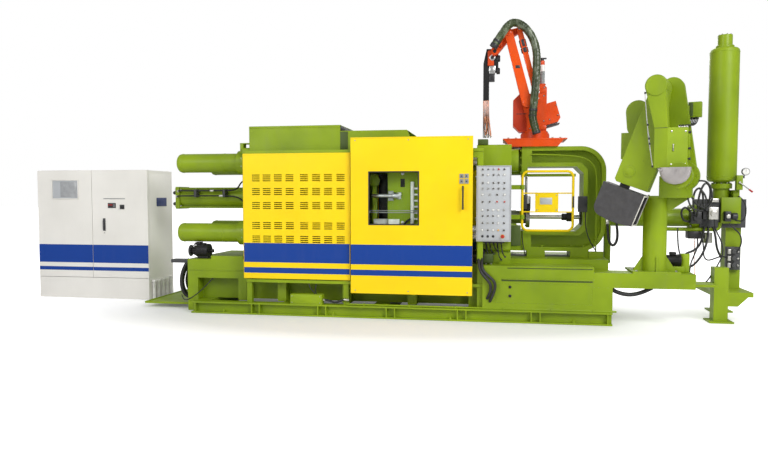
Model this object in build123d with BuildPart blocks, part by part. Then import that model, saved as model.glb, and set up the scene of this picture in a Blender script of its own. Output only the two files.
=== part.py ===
"""Cold chamber die casting machine with spray robot, ladle arm and control cabinet.

Lengths are in millimetres. X runs along the machine, from the closing cylinder at low X to
the accumulator at high X, Y runs away from the operator's side, Z is up. The origin is on the
floor, under the die face of the fixed platen, on the machine's centre line.
"""
import os
from math import atan2, cos, radians, sin, tan

from build123d import *

os.makedirs("parts", exist_ok=True)

# Driving dimensions
AXIS_Z = 1575.0
BAR_PITCH_Y = 1100.0
BAR_PITCH_Z = 985.0
BAR_D = 180.0
PLATEN_W = 1520.0
PLATEN_H = 1380.0
FIXED_T = 440.0
MOVING_T = 400.0
REAR_T = 400.0
DAYLIGHT = 770.0
REAR_X = -3200.0
PLATEN_EDGE_R = 40.0
SLIDE_GAP = 1.0
SEAT = 0.3
OVERRUN = 5.0

# Base: two rolled rails on the floor, tied by cross beams
RAIL_X0 = -3870.0
RAIL_X1 = 1680.0
RAIL_OUT = 20.0
RAIL_W = 150.0
RAIL_H = 160.0
RAIL_FLANGE = 20.0
RAIL_WEB = 16.0
RIB_T = 14.0
RIB_GAP = 110.0
RIB_PAIRS = 6
ANCHOR_D = 28.0
ANCHOR_SIDE = 45.0
ANCHORS = 4
TIE_W = 200.0
TIE_PITCH = 1250.0
TIES_LEFT = 3
TIES_RIGHT = 1

# Welded beds on the rails
BED_X0 = -4020.0
BED_TOP = 720.0
BED_DECK_Z0 = 460.0
BED_W = 1560.0
BED_END_W = 150.0
POST_W = 120.0
POCKET_D = 180.0
LEDGE_X0 = -3670.0
LEDGE_W = 60.0
LEDGE_H = 50.0
TRAY_X0 = -4760.0
TRAY_Z1 = 70.0
TRAY_T = 15.0
TRAY_LAP = 40.0
TRAY_FOOT_W = 300.0
SLIDEWAY_W = 260.0
SLIDEWAY_Y = 470.0
SHOT_BED_X1 = 1455.0
SHOT_BED_W = 1960.0
SHOT_BEAM_TOP = 780.0
SHOT_BEAM_W = 1180.0

# Ladle beam, which rests on the end posts of the injection side bed
LB_X1 = 2640.0
LB_GAP = 50.0
LB_Z0 = 470.0
LB_Z1 = 655.0

# End post of the guard frame, between the sliding door and the control panel
END_POST_X = 20.0
GPOST = 70.0


def slab(x0, x1, y0, y1, z0, z1, mode=Mode.ADD):
    """A block between two corners, for the part that is being built."""
    with Locations(((x0 + x1) / 2, (y0 + y1) / 2, (z0 + z1) / 2)):
        Box(x1 - x0, y1 - y0, z1 - z0, mode=mode)


def rod_x(x0, x1, y, z, diameter, mode=Mode.ADD):
    """A round bar along the machine."""
    with BuildSketch(Plane.YZ.offset(x0)) as end:
        with Locations((y, z)):
            Circle(diameter / 2)
    extrude(end.sketch, amount=x1 - x0, mode=mode)


def rod_y(x, z, y0, y1, diameter, mode=Mode.ADD, frame=Plane.XZ):
    """A round bar across the machine, or square to another upright frame."""
    with BuildSketch(frame.offset(-y0)) as end:
        with Locations((x, z)):
            Circle(diameter / 2)
    extrude(end.sketch, amount=y0 - y1, mode=mode)


def rod_z(x, y, z0, z1, diameter, mode=Mode.ADD):
    """An upright round bar."""
    with BuildSketch(Plane.XY.offset(z0)) as end:
        with Locations((x, y)):
            Circle(diameter / 2)
    extrude(end.sketch, amount=z1 - z0, mode=mode)


def plate_xz(points, y0, y1, mode=Mode.ADD, frame=Plane.XZ):
    """A plate with a straight-sided outline seen from the operator's side."""
    with BuildSketch(frame.offset(-y0)) as side:
        with BuildLine():
            Polyline(*points, close=True)
        make_face()
    extrude(side.sketch, amount=y0 - y1, mode=mode)


def arm_xz(start, end, start_width, end_width, y0, y1, frame=Plane.XZ):
    """A tapered arm with round ends, seen from the operator's side."""
    with BuildSketch(frame.offset(-y0)) as side:
        with Locations(start):
            Circle(start_width / 2)
        with Locations(end):
            Circle(end_width / 2)
        make_hull()
    extrude(side.sketch, amount=y0 - y1)


def turned_x(profile, y, z):
    """A part turned about a line along the machine: its outline gives X and radius."""
    with BuildSketch(Plane.XZ.offset(-y)) as half:
        with BuildLine():
            Polyline(*[(x, z + radius) for x, radius in profile], close=True)
        make_face()
    revolve(half.sketch, axis=Axis((0, y, z), (1, 0, 0)))


def finish(builder, label):
    """Names a piece and writes its file."""
    builder.part.label = label
    export_step(builder.part, "parts/" + label + ".step")


def mirrored_y(values):
    """The same place on the operator's side and on the far side."""
    return [-values, values]


# Floor rails with paired stiffening ribs and anchor holes
shot_bed_half = SHOT_BED_W / 2
lb_y0 = -shot_bed_half
lb_y1 = -SHOT_BEAM_W / 2 - LB_GAP
col_y = (lb_y0 + lb_y1) / 2
rail_y_middle = shot_bed_half + RAIL_OUT - RAIL_W / 2
rib_pitch = (RAIL_X1 - RAIL_X0) / RIB_PAIRS
anchor_pitch = (RAIL_X1 - RAIL_X0 - rib_pitch) / (ANCHORS - 1)
with BuildPart() as base_rails:
    for rail_y in mirrored_y(rail_y_middle):
        with BuildSketch(Plane.YZ.offset(RAIL_X0)):
            with Locations((rail_y, RAIL_H / 2)):
                Rectangle(RAIL_W, RAIL_H)
                for side in (-1, 1):
                    with Locations((side * (RAIL_W + RAIL_WEB) / 4, 0)):
                        Rectangle((RAIL_W - RAIL_WEB) / 2, RAIL_H - 2 * RAIL_FLANGE, mode=Mode.SUBTRACT)
        extrude(amount=RAIL_X1 - RAIL_X0)
        for pair in range(RIB_PAIRS + 1):
            for side in (-1, 1):
                rib_x = RAIL_X0 + pair * rib_pitch + side * RIB_GAP / 2
                if RAIL_X0 < rib_x < RAIL_X1:
                    slab(rib_x - RIB_T / 2, rib_x + RIB_T / 2, rail_y - RAIL_W / 2, rail_y + RAIL_W / 2,
                         RAIL_FLANGE, RAIL_H - RAIL_FLANGE)
        outer = rail_y + (ANCHOR_SIDE if rail_y > 0 else -ANCHOR_SIDE)
        for anchor in range(ANCHORS):
            rod_z(RAIL_X0 + rib_pitch / 2 + anchor * anchor_pitch, outer, -OVERRUN,
                  RAIL_FLANGE + OVERRUN, ANCHOR_D, mode=Mode.SUBTRACT)
finish(base_rails, "base_rails")

rail_inner = rail_y_middle - RAIL_W / 2
with BuildPart() as cross_beams:
    for tie in range(-TIES_LEFT, TIES_RIGHT + 1):
        tie_x = tie * TIE_PITCH - TIE_W / 2
        slab(tie_x, tie_x + TIE_W, -rail_inner, rail_inner, 0, RAIL_H)
finish(cross_beams, "cross_beams")

# Closing side bed: a deck on a narrower box and on posts, with end posts and a drip tray at its
# left end, and two slideways on top
bed_half = BED_W / 2
bed_core = bed_half - POCKET_D
bed_l = FIXED_T - BED_X0
bed_post_shares = (0.168, 0.296, 0.5, 0.7, 0.88)
with BuildPart() as clamp_bed:
    slab(BED_X0, FIXED_T, -bed_half, bed_half, BED_DECK_Z0, BED_TOP)
    slab(BED_X0 + BED_END_W / 2, FIXED_T, -bed_core, bed_core, RAIL_H, BED_DECK_Z0)
    for side in (-1, 1):
        post_near, post_far = min(side * bed_half, side * bed_core), max(side * bed_half, side * bed_core)
        slab(BED_X0, BED_X0 + BED_END_W, post_near, post_far, 0, BED_DECK_Z0)
        for share in bed_post_shares:
            left = BED_X0 + share * bed_l
            slab(left, left + POST_W, post_near, post_far, RAIL_H, BED_DECK_Z0)
        ledge_y = side * (bed_half - LEDGE_W)
        slab(LEDGE_X0, REAR_X, min(side * bed_half, ledge_y), max(side * bed_half, ledge_y),
             BED_TOP, BED_TOP + LEDGE_H)
    slab(TRAY_X0, BED_X0 + BED_END_W, -bed_core - TRAY_LAP, bed_core + TRAY_LAP, TRAY_Z1 - TRAY_T, TRAY_Z1)
    slab(TRAY_X0 + TRAY_LAP, BED_X0, -TRAY_FOOT_W / 2, TRAY_FOOT_W / 2, 0, TRAY_Z1 - TRAY_T)
finish(clamp_bed, "clamp_bed")
slideway_h = AXIS_Z - PLATEN_H / 2 - BED_TOP
slideway_t = slideway_h / 2
rear_x1 = REAR_X + REAR_T
with BuildPart() as slideways:
    for way_y in mirrored_y(SLIDEWAY_Y):
        slab(rear_x1 + SEAT, -SEAT, way_y - SLIDEWAY_W / 2, way_y + SLIDEWAY_W / 2,
             BED_TOP, BED_TOP + slideway_t)
finish(slideways, "slideways")

# Injection side bed: wide block, narrower beam on it, end post plate
SHOT_POCKET_X0 = 240.0
SHOT_POCKET_Z0 = 250.0
SHOT_POCKET_Z1 = 500.0
SHOT_POCKET_D = 20.0
shot_bed_x0 = END_POST_X + GPOST + SEAT
with BuildPart() as shot_bed:
    slab(shot_bed_x0, SHOT_BED_X1, -shot_bed_half, shot_bed_half, RAIL_H, BED_TOP)
    slab(SHOT_BED_X1, RAIL_X1, -shot_bed_half, shot_bed_half, RAIL_H, LB_Z0)
    slab(FIXED_T, RAIL_X1, -SHOT_BEAM_W / 2, SHOT_BEAM_W / 2, LB_Z0, SHOT_BEAM_TOP)
    slab(shot_bed_x0, FIXED_T + SEAT, -bed_half - SEAT, bed_half + SEAT, RAIL_H, SHOT_BEAM_TOP,
         mode=Mode.SUBTRACT)
    for side in (-1, 1):
        face = side * shot_bed_half
        slab(SHOT_POCKET_X0, SHOT_BED_X1 - SHOT_POCKET_D, min(face, face - side * SHOT_POCKET_D),
             max(face, face - side * SHOT_POCKET_D), SHOT_POCKET_Z0, SHOT_POCKET_Z1, mode=Mode.SUBTRACT)
finish(shot_bed, "shot_bed")

# Platens
bar_places = [(y, AXIS_Z + z) for y in mirrored_y(BAR_PITCH_Y / 2) for z in mirrored_y(BAR_PITCH_Z / 2)]
BAR_BORE = BAR_D + 2 * SEAT
SLEEVE_DROP = 260.0
SLEEVE_D = 190.0
SHOT_Z = AXIS_Z - SLEEVE_DROP
TAP_D = 30.0
TAP_DEPTH = 70.0
TAP_PITCH_Y = 220.0
TAP_PITCH_Z = 360.0
TAP_COLUMNS = 4
TAP_ROWS = 3
FOOT_W = 420.0
FOOT_Y = 500.0
platen_z0 = AXIS_Z - PLATEN_H / 2
platen_z1 = AXIS_Z + PLATEN_H / 2


def platen_block(x0, x1):
    """A platen with rounded corners and four tie bar bores."""
    with BuildSketch(Plane.YZ.offset(x0)) as end:
        with Locations((0, AXIS_Z)):
            RectangleRounded(PLATEN_W, PLATEN_H, PLATEN_EDGE_R)
        with Locations(*bar_places):
            Circle(BAR_BORE / 2, mode=Mode.SUBTRACT)
    extrude(end.sketch, amount=x1 - x0)


with BuildPart() as fixed_platen:
    platen_block(0, FIXED_T)
    for foot_y in mirrored_y(FOOT_Y):
        slab(0, FIXED_T, foot_y - FOOT_W / 2, foot_y + FOOT_W / 2, BED_TOP, platen_z0)
    rod_x(-OVERRUN, FIXED_T + OVERRUN, 0, SHOT_Z, SLEEVE_D, mode=Mode.SUBTRACT)
    with BuildSketch(Plane.YZ):
        with Locations((0, AXIS_Z)):
            with GridLocations(TAP_PITCH_Y, TAP_PITCH_Z, TAP_COLUMNS, TAP_ROWS):
                Circle(TAP_D / 2)
    extrude(amount=TAP_DEPTH, mode=Mode.SUBTRACT)
finish(fixed_platen, "fixed_platen")

moving_x1 = -DAYLIGHT
moving_x0 = moving_x1 - MOVING_T
LUG_L = 330.0
LUG_T = 90.0
LUG_H = 300.0
LUG_PIN_D = 110.0
LUG_Y = 170.0
LUG_Z = 430.0
SHOE_T = slideway_h - slideway_t - SLIDE_GAP
with BuildPart() as moving_platen:
    platen_block(moving_x0, moving_x1)
    for lug_y in mirrored_y(LUG_Y):
        for lug_z in mirrored_y(LUG_Z):
            with BuildSketch(Plane.XZ.offset(-(lug_y - LUG_T / 2))):
                with BuildLine():
                    Polyline((moving_x0, AXIS_Z + lug_z - LUG_H / 2),
                             (moving_x0 - LUG_L + LUG_PIN_D, AXIS_Z + lug_z - LUG_PIN_D),
                             (moving_x0 - LUG_L + LUG_PIN_D, AXIS_Z + lug_z + LUG_PIN_D),
                             (moving_x0, AXIS_Z + lug_z + LUG_H / 2), close=True)
                make_face()
                with Locations((moving_x0 - LUG_L + LUG_PIN_D, AXIS_Z + lug_z)):
                    Circle(LUG_PIN_D)
                    Circle(LUG_PIN_D / 2, mode=Mode.SUBTRACT)
            extrude(amount=-LUG_T)
    for way_y in mirrored_y(SLIDEWAY_Y):
        slab(moving_x0, moving_x1, way_y - SLIDEWAY_W / 2, way_y + SLIDEWAY_W / 2,
             platen_z0 - SHOE_T, platen_z0)
finish(moving_platen, "moving_platen")

with BuildPart() as rear_platen:
    platen_block(REAR_X, rear_x1)
    for foot_y in mirrored_y(FOOT_Y):
        slab(REAR_X, rear_x1, foot_y - FOOT_W / 2, foot_y + FOOT_W / 2, BED_TOP, platen_z0)
finish(rear_platen, "rear_platen")

# Tie bars run through all three platens, with a nut behind the rear and the fixed platen
NUT_D = 290.0
NUT_L = 90.0
BAR_END = 60.0
with BuildPart() as tie_bars:
    for bar_y, bar_z in bar_places:
        rod_x(REAR_X - NUT_L - BAR_END, FIXED_T + NUT_L, bar_y, bar_z, BAR_D)
finish(tie_bars, "tie_bars")
with BuildPart() as tie_bar_nuts:
    for nut_x in (REAR_X - NUT_L, FIXED_T):
        for bar_y, bar_z in bar_places:
            rod_x(nut_x, nut_x + NUT_L, bar_y, bar_z, NUT_D)
            rod_x(nut_x - OVERRUN, nut_x + NUT_L + OVERRUN, bar_y, bar_z, BAR_BORE, mode=Mode.SUBTRACT)
finish(tie_bar_nuts, "tie_bar_nuts")

# Covers over the rear ends of the tie bars: a bolted flange, a hub and a tube with a bevelled end
COVER_X0 = -4230.0
COVER_D = 265.0
COVER_WALL = 8.0
COVER_BAR_CLEAR = 6.0
COVER_FLANGE_D = 400.0
COVER_FLANGE_T = 24.0
COVER_HUB_D = 336.0
COVER_HUB_L = 120.0
COVER_EDGE = 45.0
edge_shares = (0, 0.134, 0.5, 1)
with BuildPart() as bar_covers:
    for bar_y, bar_z in bar_places:
        end_points = [(COVER_X0 + COVER_EDGE * share, COVER_D / 2 - COVER_EDGE * back_share)
                      for share, back_share in zip(edge_shares, reversed(edge_shares))]
        turned_x([(COVER_X0, 0)] + end_points
                 + [(REAR_X - COVER_HUB_L, COVER_D / 2), (REAR_X - COVER_HUB_L, COVER_HUB_D / 2),
                    (REAR_X - COVER_FLANGE_T, COVER_HUB_D / 2), (REAR_X - COVER_FLANGE_T, COVER_FLANGE_D / 2),
                    (REAR_X, COVER_FLANGE_D / 2), (REAR_X, 0)], bar_y, bar_z)
        rod_x(COVER_X0 + COVER_EDGE, REAR_X, bar_y, bar_z, COVER_D - 2 * COVER_WALL, mode=Mode.SUBTRACT)
        rod_x(REAR_X - NUT_L - COVER_BAR_CLEAR, REAR_X, bar_y, bar_z, NUT_D + COVER_BAR_CLEAR,
              mode=Mode.SUBTRACT)
finish(bar_covers, "bar_covers")

# Closing cylinder behind the rear platen
CLOSING_D = 300.0
CLOSING_X0 = -4500.0
CLOSING_FLANGE_D = 440.0
CLOSING_FLANGE_T = 70.0
CLOSING_CAP = 330.0
CLOSING_CAP_T = 60.0
CLOSING_CAP_R = 12.0
with BuildPart() as closing_cylinder:
    rod_x(CLOSING_X0 + CLOSING_CAP_T, REAR_X, 0, AXIS_Z, CLOSING_D)
    rod_x(REAR_X - CLOSING_FLANGE_T, REAR_X, 0, AXIS_Z, CLOSING_FLANGE_D)
    with BuildSketch(Plane.YZ.offset(CLOSING_X0)):
        with Locations((0, AXIS_Z)):
            RectangleRounded(CLOSING_CAP, CLOSING_CAP, CLOSING_CAP_R)
    extrude(amount=CLOSING_CAP_T)
finish(closing_cylinder, "closing_cylinder")

# Die height motor on the left end of the bed, with a cone shaped cover and its shaft to the right
MOTOR_X0 = -4050.0
MOTOR_X1 = -3770.0
MOTOR_Y = -600.0
MOTOR_D = 200.0
MOTOR_CONE_L = 130.0
MOTOR_CONE_D = 70.0
MOTOR_SHAFT_D = 50.0
MOTOR_SHAFT_L = 60.0
MOTOR_AXIS_H = 105.0
MOTOR_FOOT_W = 140.0
motor_z = BED_TOP + MOTOR_AXIS_H
with BuildPart() as die_height_motor:
    slab(MOTOR_X0 + MOTOR_CONE_L, MOTOR_X1, MOTOR_Y - MOTOR_FOOT_W / 2, MOTOR_Y + MOTOR_FOOT_W / 2,
         BED_TOP, motor_z)
    turned_x([(MOTOR_X0, 0), (MOTOR_X0, MOTOR_CONE_D / 2), (MOTOR_X0 + MOTOR_CONE_L, MOTOR_D / 2),
              (MOTOR_X1, MOTOR_D / 2), (MOTOR_X1, MOTOR_SHAFT_D / 2),
              (MOTOR_X1 + MOTOR_SHAFT_L, MOTOR_SHAFT_D / 2), (MOTOR_X1 + MOTOR_SHAFT_L, 0)], MOTOR_Y, motor_z)
finish(die_height_motor, "die_height_motor")

# Terminal box on the operator's side rail
TERMINAL_X0 = -2450.0
TERMINAL_X1 = -2015.0
TERMINAL_T = 110.0
TERMINAL_H = 135.0
terminal_y0 = -rail_y_middle - RAIL_W / 2
with BuildPart() as terminal_box:
    slab(TERMINAL_X0, TERMINAL_X1, terminal_y0, terminal_y0 + TERMINAL_T, RAIL_H, RAIL_H + TERMINAL_H)
finish(terminal_box, "terminal_box")

# Guard frame: posts on the floor rails and an upper beam on each side
GUARD_Y = 950.0
SHEET_T = 6.0
SHEET_RETURN = 30.0
GUARD_X0 = -3120.0
LOUVRE_X1 = -1640.0
GUARD_Z0 = 490.0
GUARD_Z1 = 2170.0
BEAM_H = 80.0
beam_z0 = GUARD_Z1 - BEAM_H
post_y0 = GUARD_Y - SHEET_RETURN - GPOST
post_y1 = GUARD_Y - SHEET_RETURN
post_lefts = [GUARD_X0 + SHEET_RETURN, LOUVRE_X1 - SHEET_RETURN - GPOST, END_POST_X]
with BuildPart() as guard_posts:
    for side in (-1, 1):
        for left in post_lefts:
            slab(left, left + GPOST, min(side * post_y0, side * post_y1), max(side * post_y0, side * post_y1),
                 RAIL_H, beam_z0)
finish(guard_posts, "guard_posts")
with BuildPart() as guard_beams:
    for side in (-1, 1):
        slab(GUARD_X0 + SHEET_RETURN, END_POST_X + GPOST, min(side * post_y0, side * post_y1),
             max(side * post_y0, side * post_y1), beam_z0, GUARD_Z1)
finish(guard_beams, "guard_beams")


def tray(x0, x1, side, y_out, depth):
    """A folded guard sheet, with its edges turned in."""
    slab(x0, x1, min(side * y_out, side * (y_out - depth)), max(side * y_out, side * (y_out - depth)),
         GUARD_Z0, GUARD_Z1)
    slab(x0 + SHEET_T, x1 - SHEET_T, min(side * (y_out - SHEET_T), side * (y_out - depth)),
         max(side * (y_out - SHEET_T), side * (y_out - depth)),
         GUARD_Z0 + SHEET_T, GUARD_Z1 - SHEET_T, mode=Mode.SUBTRACT)


# Louvre panel: eight columns of slots in five rows
SLOT_W = 110.0
SLOT_H = 12.0
SLOT_PITCH = 26.0
SLOTS = 4
louvre_w = LOUVRE_X1 - GUARD_X0
louvre_column_shares = (0.123, 0.226, 0.332, 0.442, 0.577, 0.690, 0.799, 0.914)
louvre_row_shares = (0.806, 0.697, 0.586, 0.426, 0.318)
with BuildPart() as louvre_panel:
    tray(GUARD_X0, LOUVRE_X1, -1, GUARD_Y, SHEET_RETURN)
    with BuildSketch(Plane.XZ.offset(GUARD_Y)):
        for column in louvre_column_shares:
            for row in louvre_row_shares:
                centre_z = GUARD_Z0 + row * (GUARD_Z1 - GUARD_Z0)
                with Locations((GUARD_X0 + column * louvre_w, centre_z)):
                    with GridLocations(SLOT_W, SLOT_PITCH, 1, SLOTS):
                        Rectangle(SLOT_W, SLOT_H)
    extrude(amount=-2 * SHEET_T, mode=Mode.SUBTRACT)
finish(louvre_panel, "louvre_panel")

with BuildPart() as back_guard:
    tray(GUARD_X0, END_POST_X + GPOST, 1, GUARD_Y, SHEET_RETURN)
finish(back_guard, "back_guard")

# Hoods over the closing side, open below, with feet turned out onto the guard beams
HOOD_T = 6.0
REAR_HOOD_X1 = -1810.0
REAR_HOOD_Z1 = 2550.0
FRONT_HOOD_X1 = -820.0
FRONT_HOOD_Z1 = 2470.0
FRONT_HOOD_SLOPE = 90.0
HOOD_PLATEN_GAP = 14.0
HOOD_SEAT_Y = 885.0
hood_half = PLATEN_W / 2 + HOOD_PLATEN_GAP + HOOD_T
rear_hood_x0 = GUARD_X0 + SHEET_RETURN
front_hood_x0 = REAR_HOOD_X1 + SEAT
with BuildPart() as rear_hood:
    slab(rear_hood_x0, REAR_HOOD_X1, -hood_half, hood_half, GUARD_Z1, REAR_HOOD_Z1)
    slab(rear_hood_x0, REAR_HOOD_X1, -HOOD_SEAT_Y, HOOD_SEAT_Y, GUARD_Z1, GUARD_Z1 + HOOD_T)
    slab(rear_hood_x0 + HOOD_T, REAR_HOOD_X1, -hood_half + HOOD_T, hood_half - HOOD_T,
         GUARD_Z1, REAR_HOOD_Z1 - HOOD_T, mode=Mode.SUBTRACT)
    slab(rear_hood_x0, rear_x1, -hood_half + HOOD_T, hood_half - HOOD_T,
         GUARD_Z1, platen_z1 + HOOD_PLATEN_GAP, mode=Mode.SUBTRACT)
finish(rear_hood, "rear_hood")
with BuildPart() as front_hood:
    plate_xz(((front_hood_x0, GUARD_Z1), (FRONT_HOOD_X1, GUARD_Z1),
              (FRONT_HOOD_X1, GUARD_Z1 + FRONT_HOOD_SLOPE), (FRONT_HOOD_X1 - FRONT_HOOD_SLOPE, FRONT_HOOD_Z1),
              (front_hood_x0, FRONT_HOOD_Z1)), -hood_half, hood_half)
    slab(front_hood_x0, FRONT_HOOD_X1, -HOOD_SEAT_Y, HOOD_SEAT_Y, GUARD_Z1, GUARD_Z1 + HOOD_T)
    slab(front_hood_x0, FRONT_HOOD_X1, -hood_half + HOOD_T, hood_half - HOOD_T,
         GUARD_Z1, FRONT_HOOD_Z1 - HOOD_T, mode=Mode.SUBTRACT)
finish(front_hood, "front_hood")

# Sliding safety door in front of the louvre panel, on a top and a bottom rail
DOOR_GAP = 15.0
DOOR_T = 40.0
DOOR_X0 = -1620.0
DOOR_X1 = -40.0
DOOR_Z0 = 330.0
DOOR_Z1 = 2360.0
WINDOW_X0 = -1385.0
WINDOW_X1 = -720.0
WINDOW_Z0 = 1225.0
WINDOW_Z1 = 1920.0
PANE_T = 8.0
HOOK_T = 8.0
HOOK_W = 160.0
HOOK_INSET = 150.0
TRACK_H = 40.0
TRACK_T = 14.0
door_y1 = -(GUARD_Y + DOOR_GAP)
door_y0 = door_y1 - DOOR_T
track_y1 = -post_y1
track_y0 = track_y1 - TRACK_T
TRACK_Z0 = GUARD_Z1
hook_lefts = (DOOR_X0 + HOOK_INSET, DOOR_X1 - HOOK_INSET - HOOK_W)
ROLLER_D = 50.0
HOOK_H = 60.0
roller_z = TRACK_Z0 + TRACK_H + ROLLER_D / 2 + SEAT
LOW_TRACK_Z1 = GUARD_Z0 - DOOR_GAP
with BuildPart() as door_tracks:
    slab(GUARD_X0 + SHEET_RETURN, END_POST_X + GPOST, track_y0, -HOOD_SEAT_Y - SEAT,
         TRACK_Z0, TRACK_Z0 + TRACK_T)
    slab(GUARD_X0 + SHEET_RETURN, END_POST_X + GPOST, track_y0, track_y1,
         TRACK_Z0 + TRACK_T, TRACK_Z0 + TRACK_H)
    slab(GUARD_X0 + SHEET_RETURN, END_POST_X + GPOST, track_y0, track_y1,
         LOW_TRACK_Z1 - TRACK_H, LOW_TRACK_Z1)
finish(door_tracks, "door_tracks")
with BuildPart() as safety_door:
    slab(DOOR_X0, DOOR_X1, door_y0, door_y1, DOOR_Z0, DOOR_Z1)
    slab(WINDOW_X0, WINDOW_X1, door_y0, door_y1, WINDOW_Z0, WINDOW_Z1, mode=Mode.SUBTRACT)
    for hook_left in hook_lefts:
        slab(hook_left, hook_left + HOOK_W, door_y1, track_y0 - HOOK_T / 2,
             roller_z - HOOK_T / 2, roller_z + HOOK_H)
        rod_y(hook_left + HOOK_W / 2, roller_z, track_y0 - HOOK_T / 2, track_y1, ROLLER_D)
        slab(hook_left, hook_left + HOOK_W, door_y1, track_y0 - SLIDE_GAP,
             LOW_TRACK_Z1 - TRACK_H, LOW_TRACK_Z1)
finish(safety_door, "safety_door")
with BuildPart() as door_window:
    slab(WINDOW_X0, WINDOW_X1, door_y1 - 2 * PANE_T, door_y1 - PANE_T, WINDOW_Z0, WINDOW_Z1)
finish(door_window, "door_window")
HANDLE_X = -160.0
HANDLE_Z0 = 1430.0
HANDLE_Z1 = 1730.0
HANDLE_D = 22.0
HANDLE_OUT = 50.0
with BuildPart() as door_handle:
    rod_z(HANDLE_X, door_y0 - HANDLE_OUT, HANDLE_Z0, HANDLE_Z1, HANDLE_D)
    for foot_z in (HANDLE_Z0 + HANDLE_D, HANDLE_Z1 - HANDLE_D):
        rod_y(HANDLE_X, foot_z, door_y0 - HANDLE_OUT, door_y0, HANDLE_D)
finish(door_handle, "door_handle")

# Control panel in front of the fixed platen
PANEL_Z0 = 1025.0
PANEL_Z1 = 1985.0
PANEL_Y0 = -955.0
PANEL_GAP = 2.0
with BuildPart() as control_panel:
    slab(END_POST_X + GPOST + PANEL_GAP, FIXED_T, -post_y1, -PLATEN_W / 2, PANEL_Z0, PANEL_Z1)
    slab(END_POST_X - DOOR_GAP, FIXED_T, PANEL_Y0, -post_y1, PANEL_Z0, PANEL_Z1)
finish(control_panel, "control_panel")

# C-shaped injection frame: I-section casting with round outer corners
CF_X0 = 660.0
CF_X1 = 1680.0
CF_Z0 = 860.0
CF_W = 520.0
CF_ARM_H = 270.0
CF_SPINE = 290.0
CF_OUTER_R = 330.0
CF_INNER_CUT = 90.0
CF_FLANGE = 55.0
CF_POCKET = 150.0
CF_FOOT_L = 240.0
SHOT_CYL_D = 240.0
NECK_D = 360.0
NECK_Z = 2070.0
PLATE_T = 80.0
PLATE_H = 290.0
ROD_BORE = 130.0
cf_in_x = CF_X1 - CF_SPINE
cf_in_z0 = CF_Z0 + CF_ARM_H
cf_in_z1 = platen_z1 - CF_ARM_H


def c_outline(inset):
    """The closed outline of the C, drawn in by a chosen inset."""
    x0, x1 = CF_X0 + inset, CF_X1 - inset
    z0, z1 = CF_Z0 + inset, platen_z1 - inset
    ix, iz0, iz1 = cf_in_x + inset, cf_in_z0 - inset, cf_in_z1 + inset
    r = CF_OUTER_R - inset
    cut = CF_INNER_CUT
    with BuildLine() as outline:
        Polyline((x0, z0), (x1 - r, z0))
        RadiusArc((x1 - r, z0), (x1, z0 + r), -r)
        Line((x1, z0 + r), (x1, z1 - r))
        RadiusArc((x1, z1 - r), (x1 - r, z1), -r)
        Polyline((x1 - r, z1), (x0, z1), (x0, iz1), (ix - cut, iz1), (ix, iz1 - cut),
                 (ix, iz0 + cut), (ix - cut, iz0), (x0, iz0), (x0, z0))
    make_face(outline.edges())


with BuildPart() as c_frame:
    with BuildSketch(Plane.XZ.offset(CF_W / 2)):
        c_outline(0)
    extrude(amount=-CF_W)
    for face in mirrored_y(CF_W / 2):
        with BuildSketch(Plane.XZ.offset(face)):
            c_outline(CF_FLANGE)
        extrude(amount=-CF_POCKET if face > 0 else CF_POCKET, mode=Mode.SUBTRACT)
    for foot_x in (CF_X0, CF_X1 - CF_OUTER_R - CF_FOOT_L / 2):
        slab(foot_x, foot_x + CF_FOOT_L, -CF_W / 2, CF_W / 2, SHOT_BEAM_TOP, CF_Z0 + CF_FLANGE)
    rod_x(cf_in_x - OVERRUN, CF_X1 + OVERRUN, 0, SHOT_Z, ROD_BORE, mode=Mode.SUBTRACT)
finish(c_frame, "c_frame")
with BuildPart() as c_frame_flanges:
    rod_x(FIXED_T, CF_X0 - PLATE_T, 0, NECK_Z, NECK_D)
    slab(CF_X0 - PLATE_T, CF_X0, -CF_W / 2, CF_W / 2, NECK_Z - PLATE_H / 2 - CF_FLANGE, platen_z1)
    slab(FIXED_T, CF_X0, -CF_W / 2, CF_W / 2, CF_Z0, cf_in_z0)
finish(c_frame_flanges, "c_frame_flanges")

# Shot sleeve, plunger and shot cylinder
SLEEVE_END = 700.0
SLEEVE_LIP = 20.0
SLEEVE_NOSE_D = 170.0
SLEEVE_BORE = 110.0
POUR_X = 560.0
POUR_W = 90.0
SLEEVE_FLANGE_D = 300.0
SLEEVE_FLANGE_T = 50.0
TIP_D = 108.0
TIP_L = 90.0
SHOT_ROD_D = 60.0
COLLAR_D = 120.0
COLLAR_X = 1200.0
COLLAR_L = 70.0
SHOT_CYL_X1 = 2790.0
SHOT_CYL_FLANGE_D = 345.0
SHOT_CYL_FLANGE_T = 90.0
SHOT_CYL_BORE = 130.0
SHOT_ROD_X1 = 2400.0
PISTON_L = 80.0
with BuildPart() as shot_sleeve:
    rod_x(-SLEEVE_LIP, 0, 0, SHOT_Z, SLEEVE_NOSE_D)
    rod_x(0, SLEEVE_END, 0, SHOT_Z, SLEEVE_D - 2 * SEAT)
    rod_x(SLEEVE_END - SLEEVE_FLANGE_T, SLEEVE_END, 0, SHOT_Z, SLEEVE_FLANGE_D)
    rod_x(-SLEEVE_LIP - OVERRUN, SLEEVE_END + OVERRUN, 0, SHOT_Z, SLEEVE_BORE, mode=Mode.SUBTRACT)
    slab(POUR_X - POUR_W / 2, POUR_X + POUR_W / 2, -POUR_W / 2, POUR_W / 2, SHOT_Z,
         SHOT_Z + SLEEVE_D, mode=Mode.SUBTRACT)
finish(shot_sleeve, "shot_sleeve")
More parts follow.
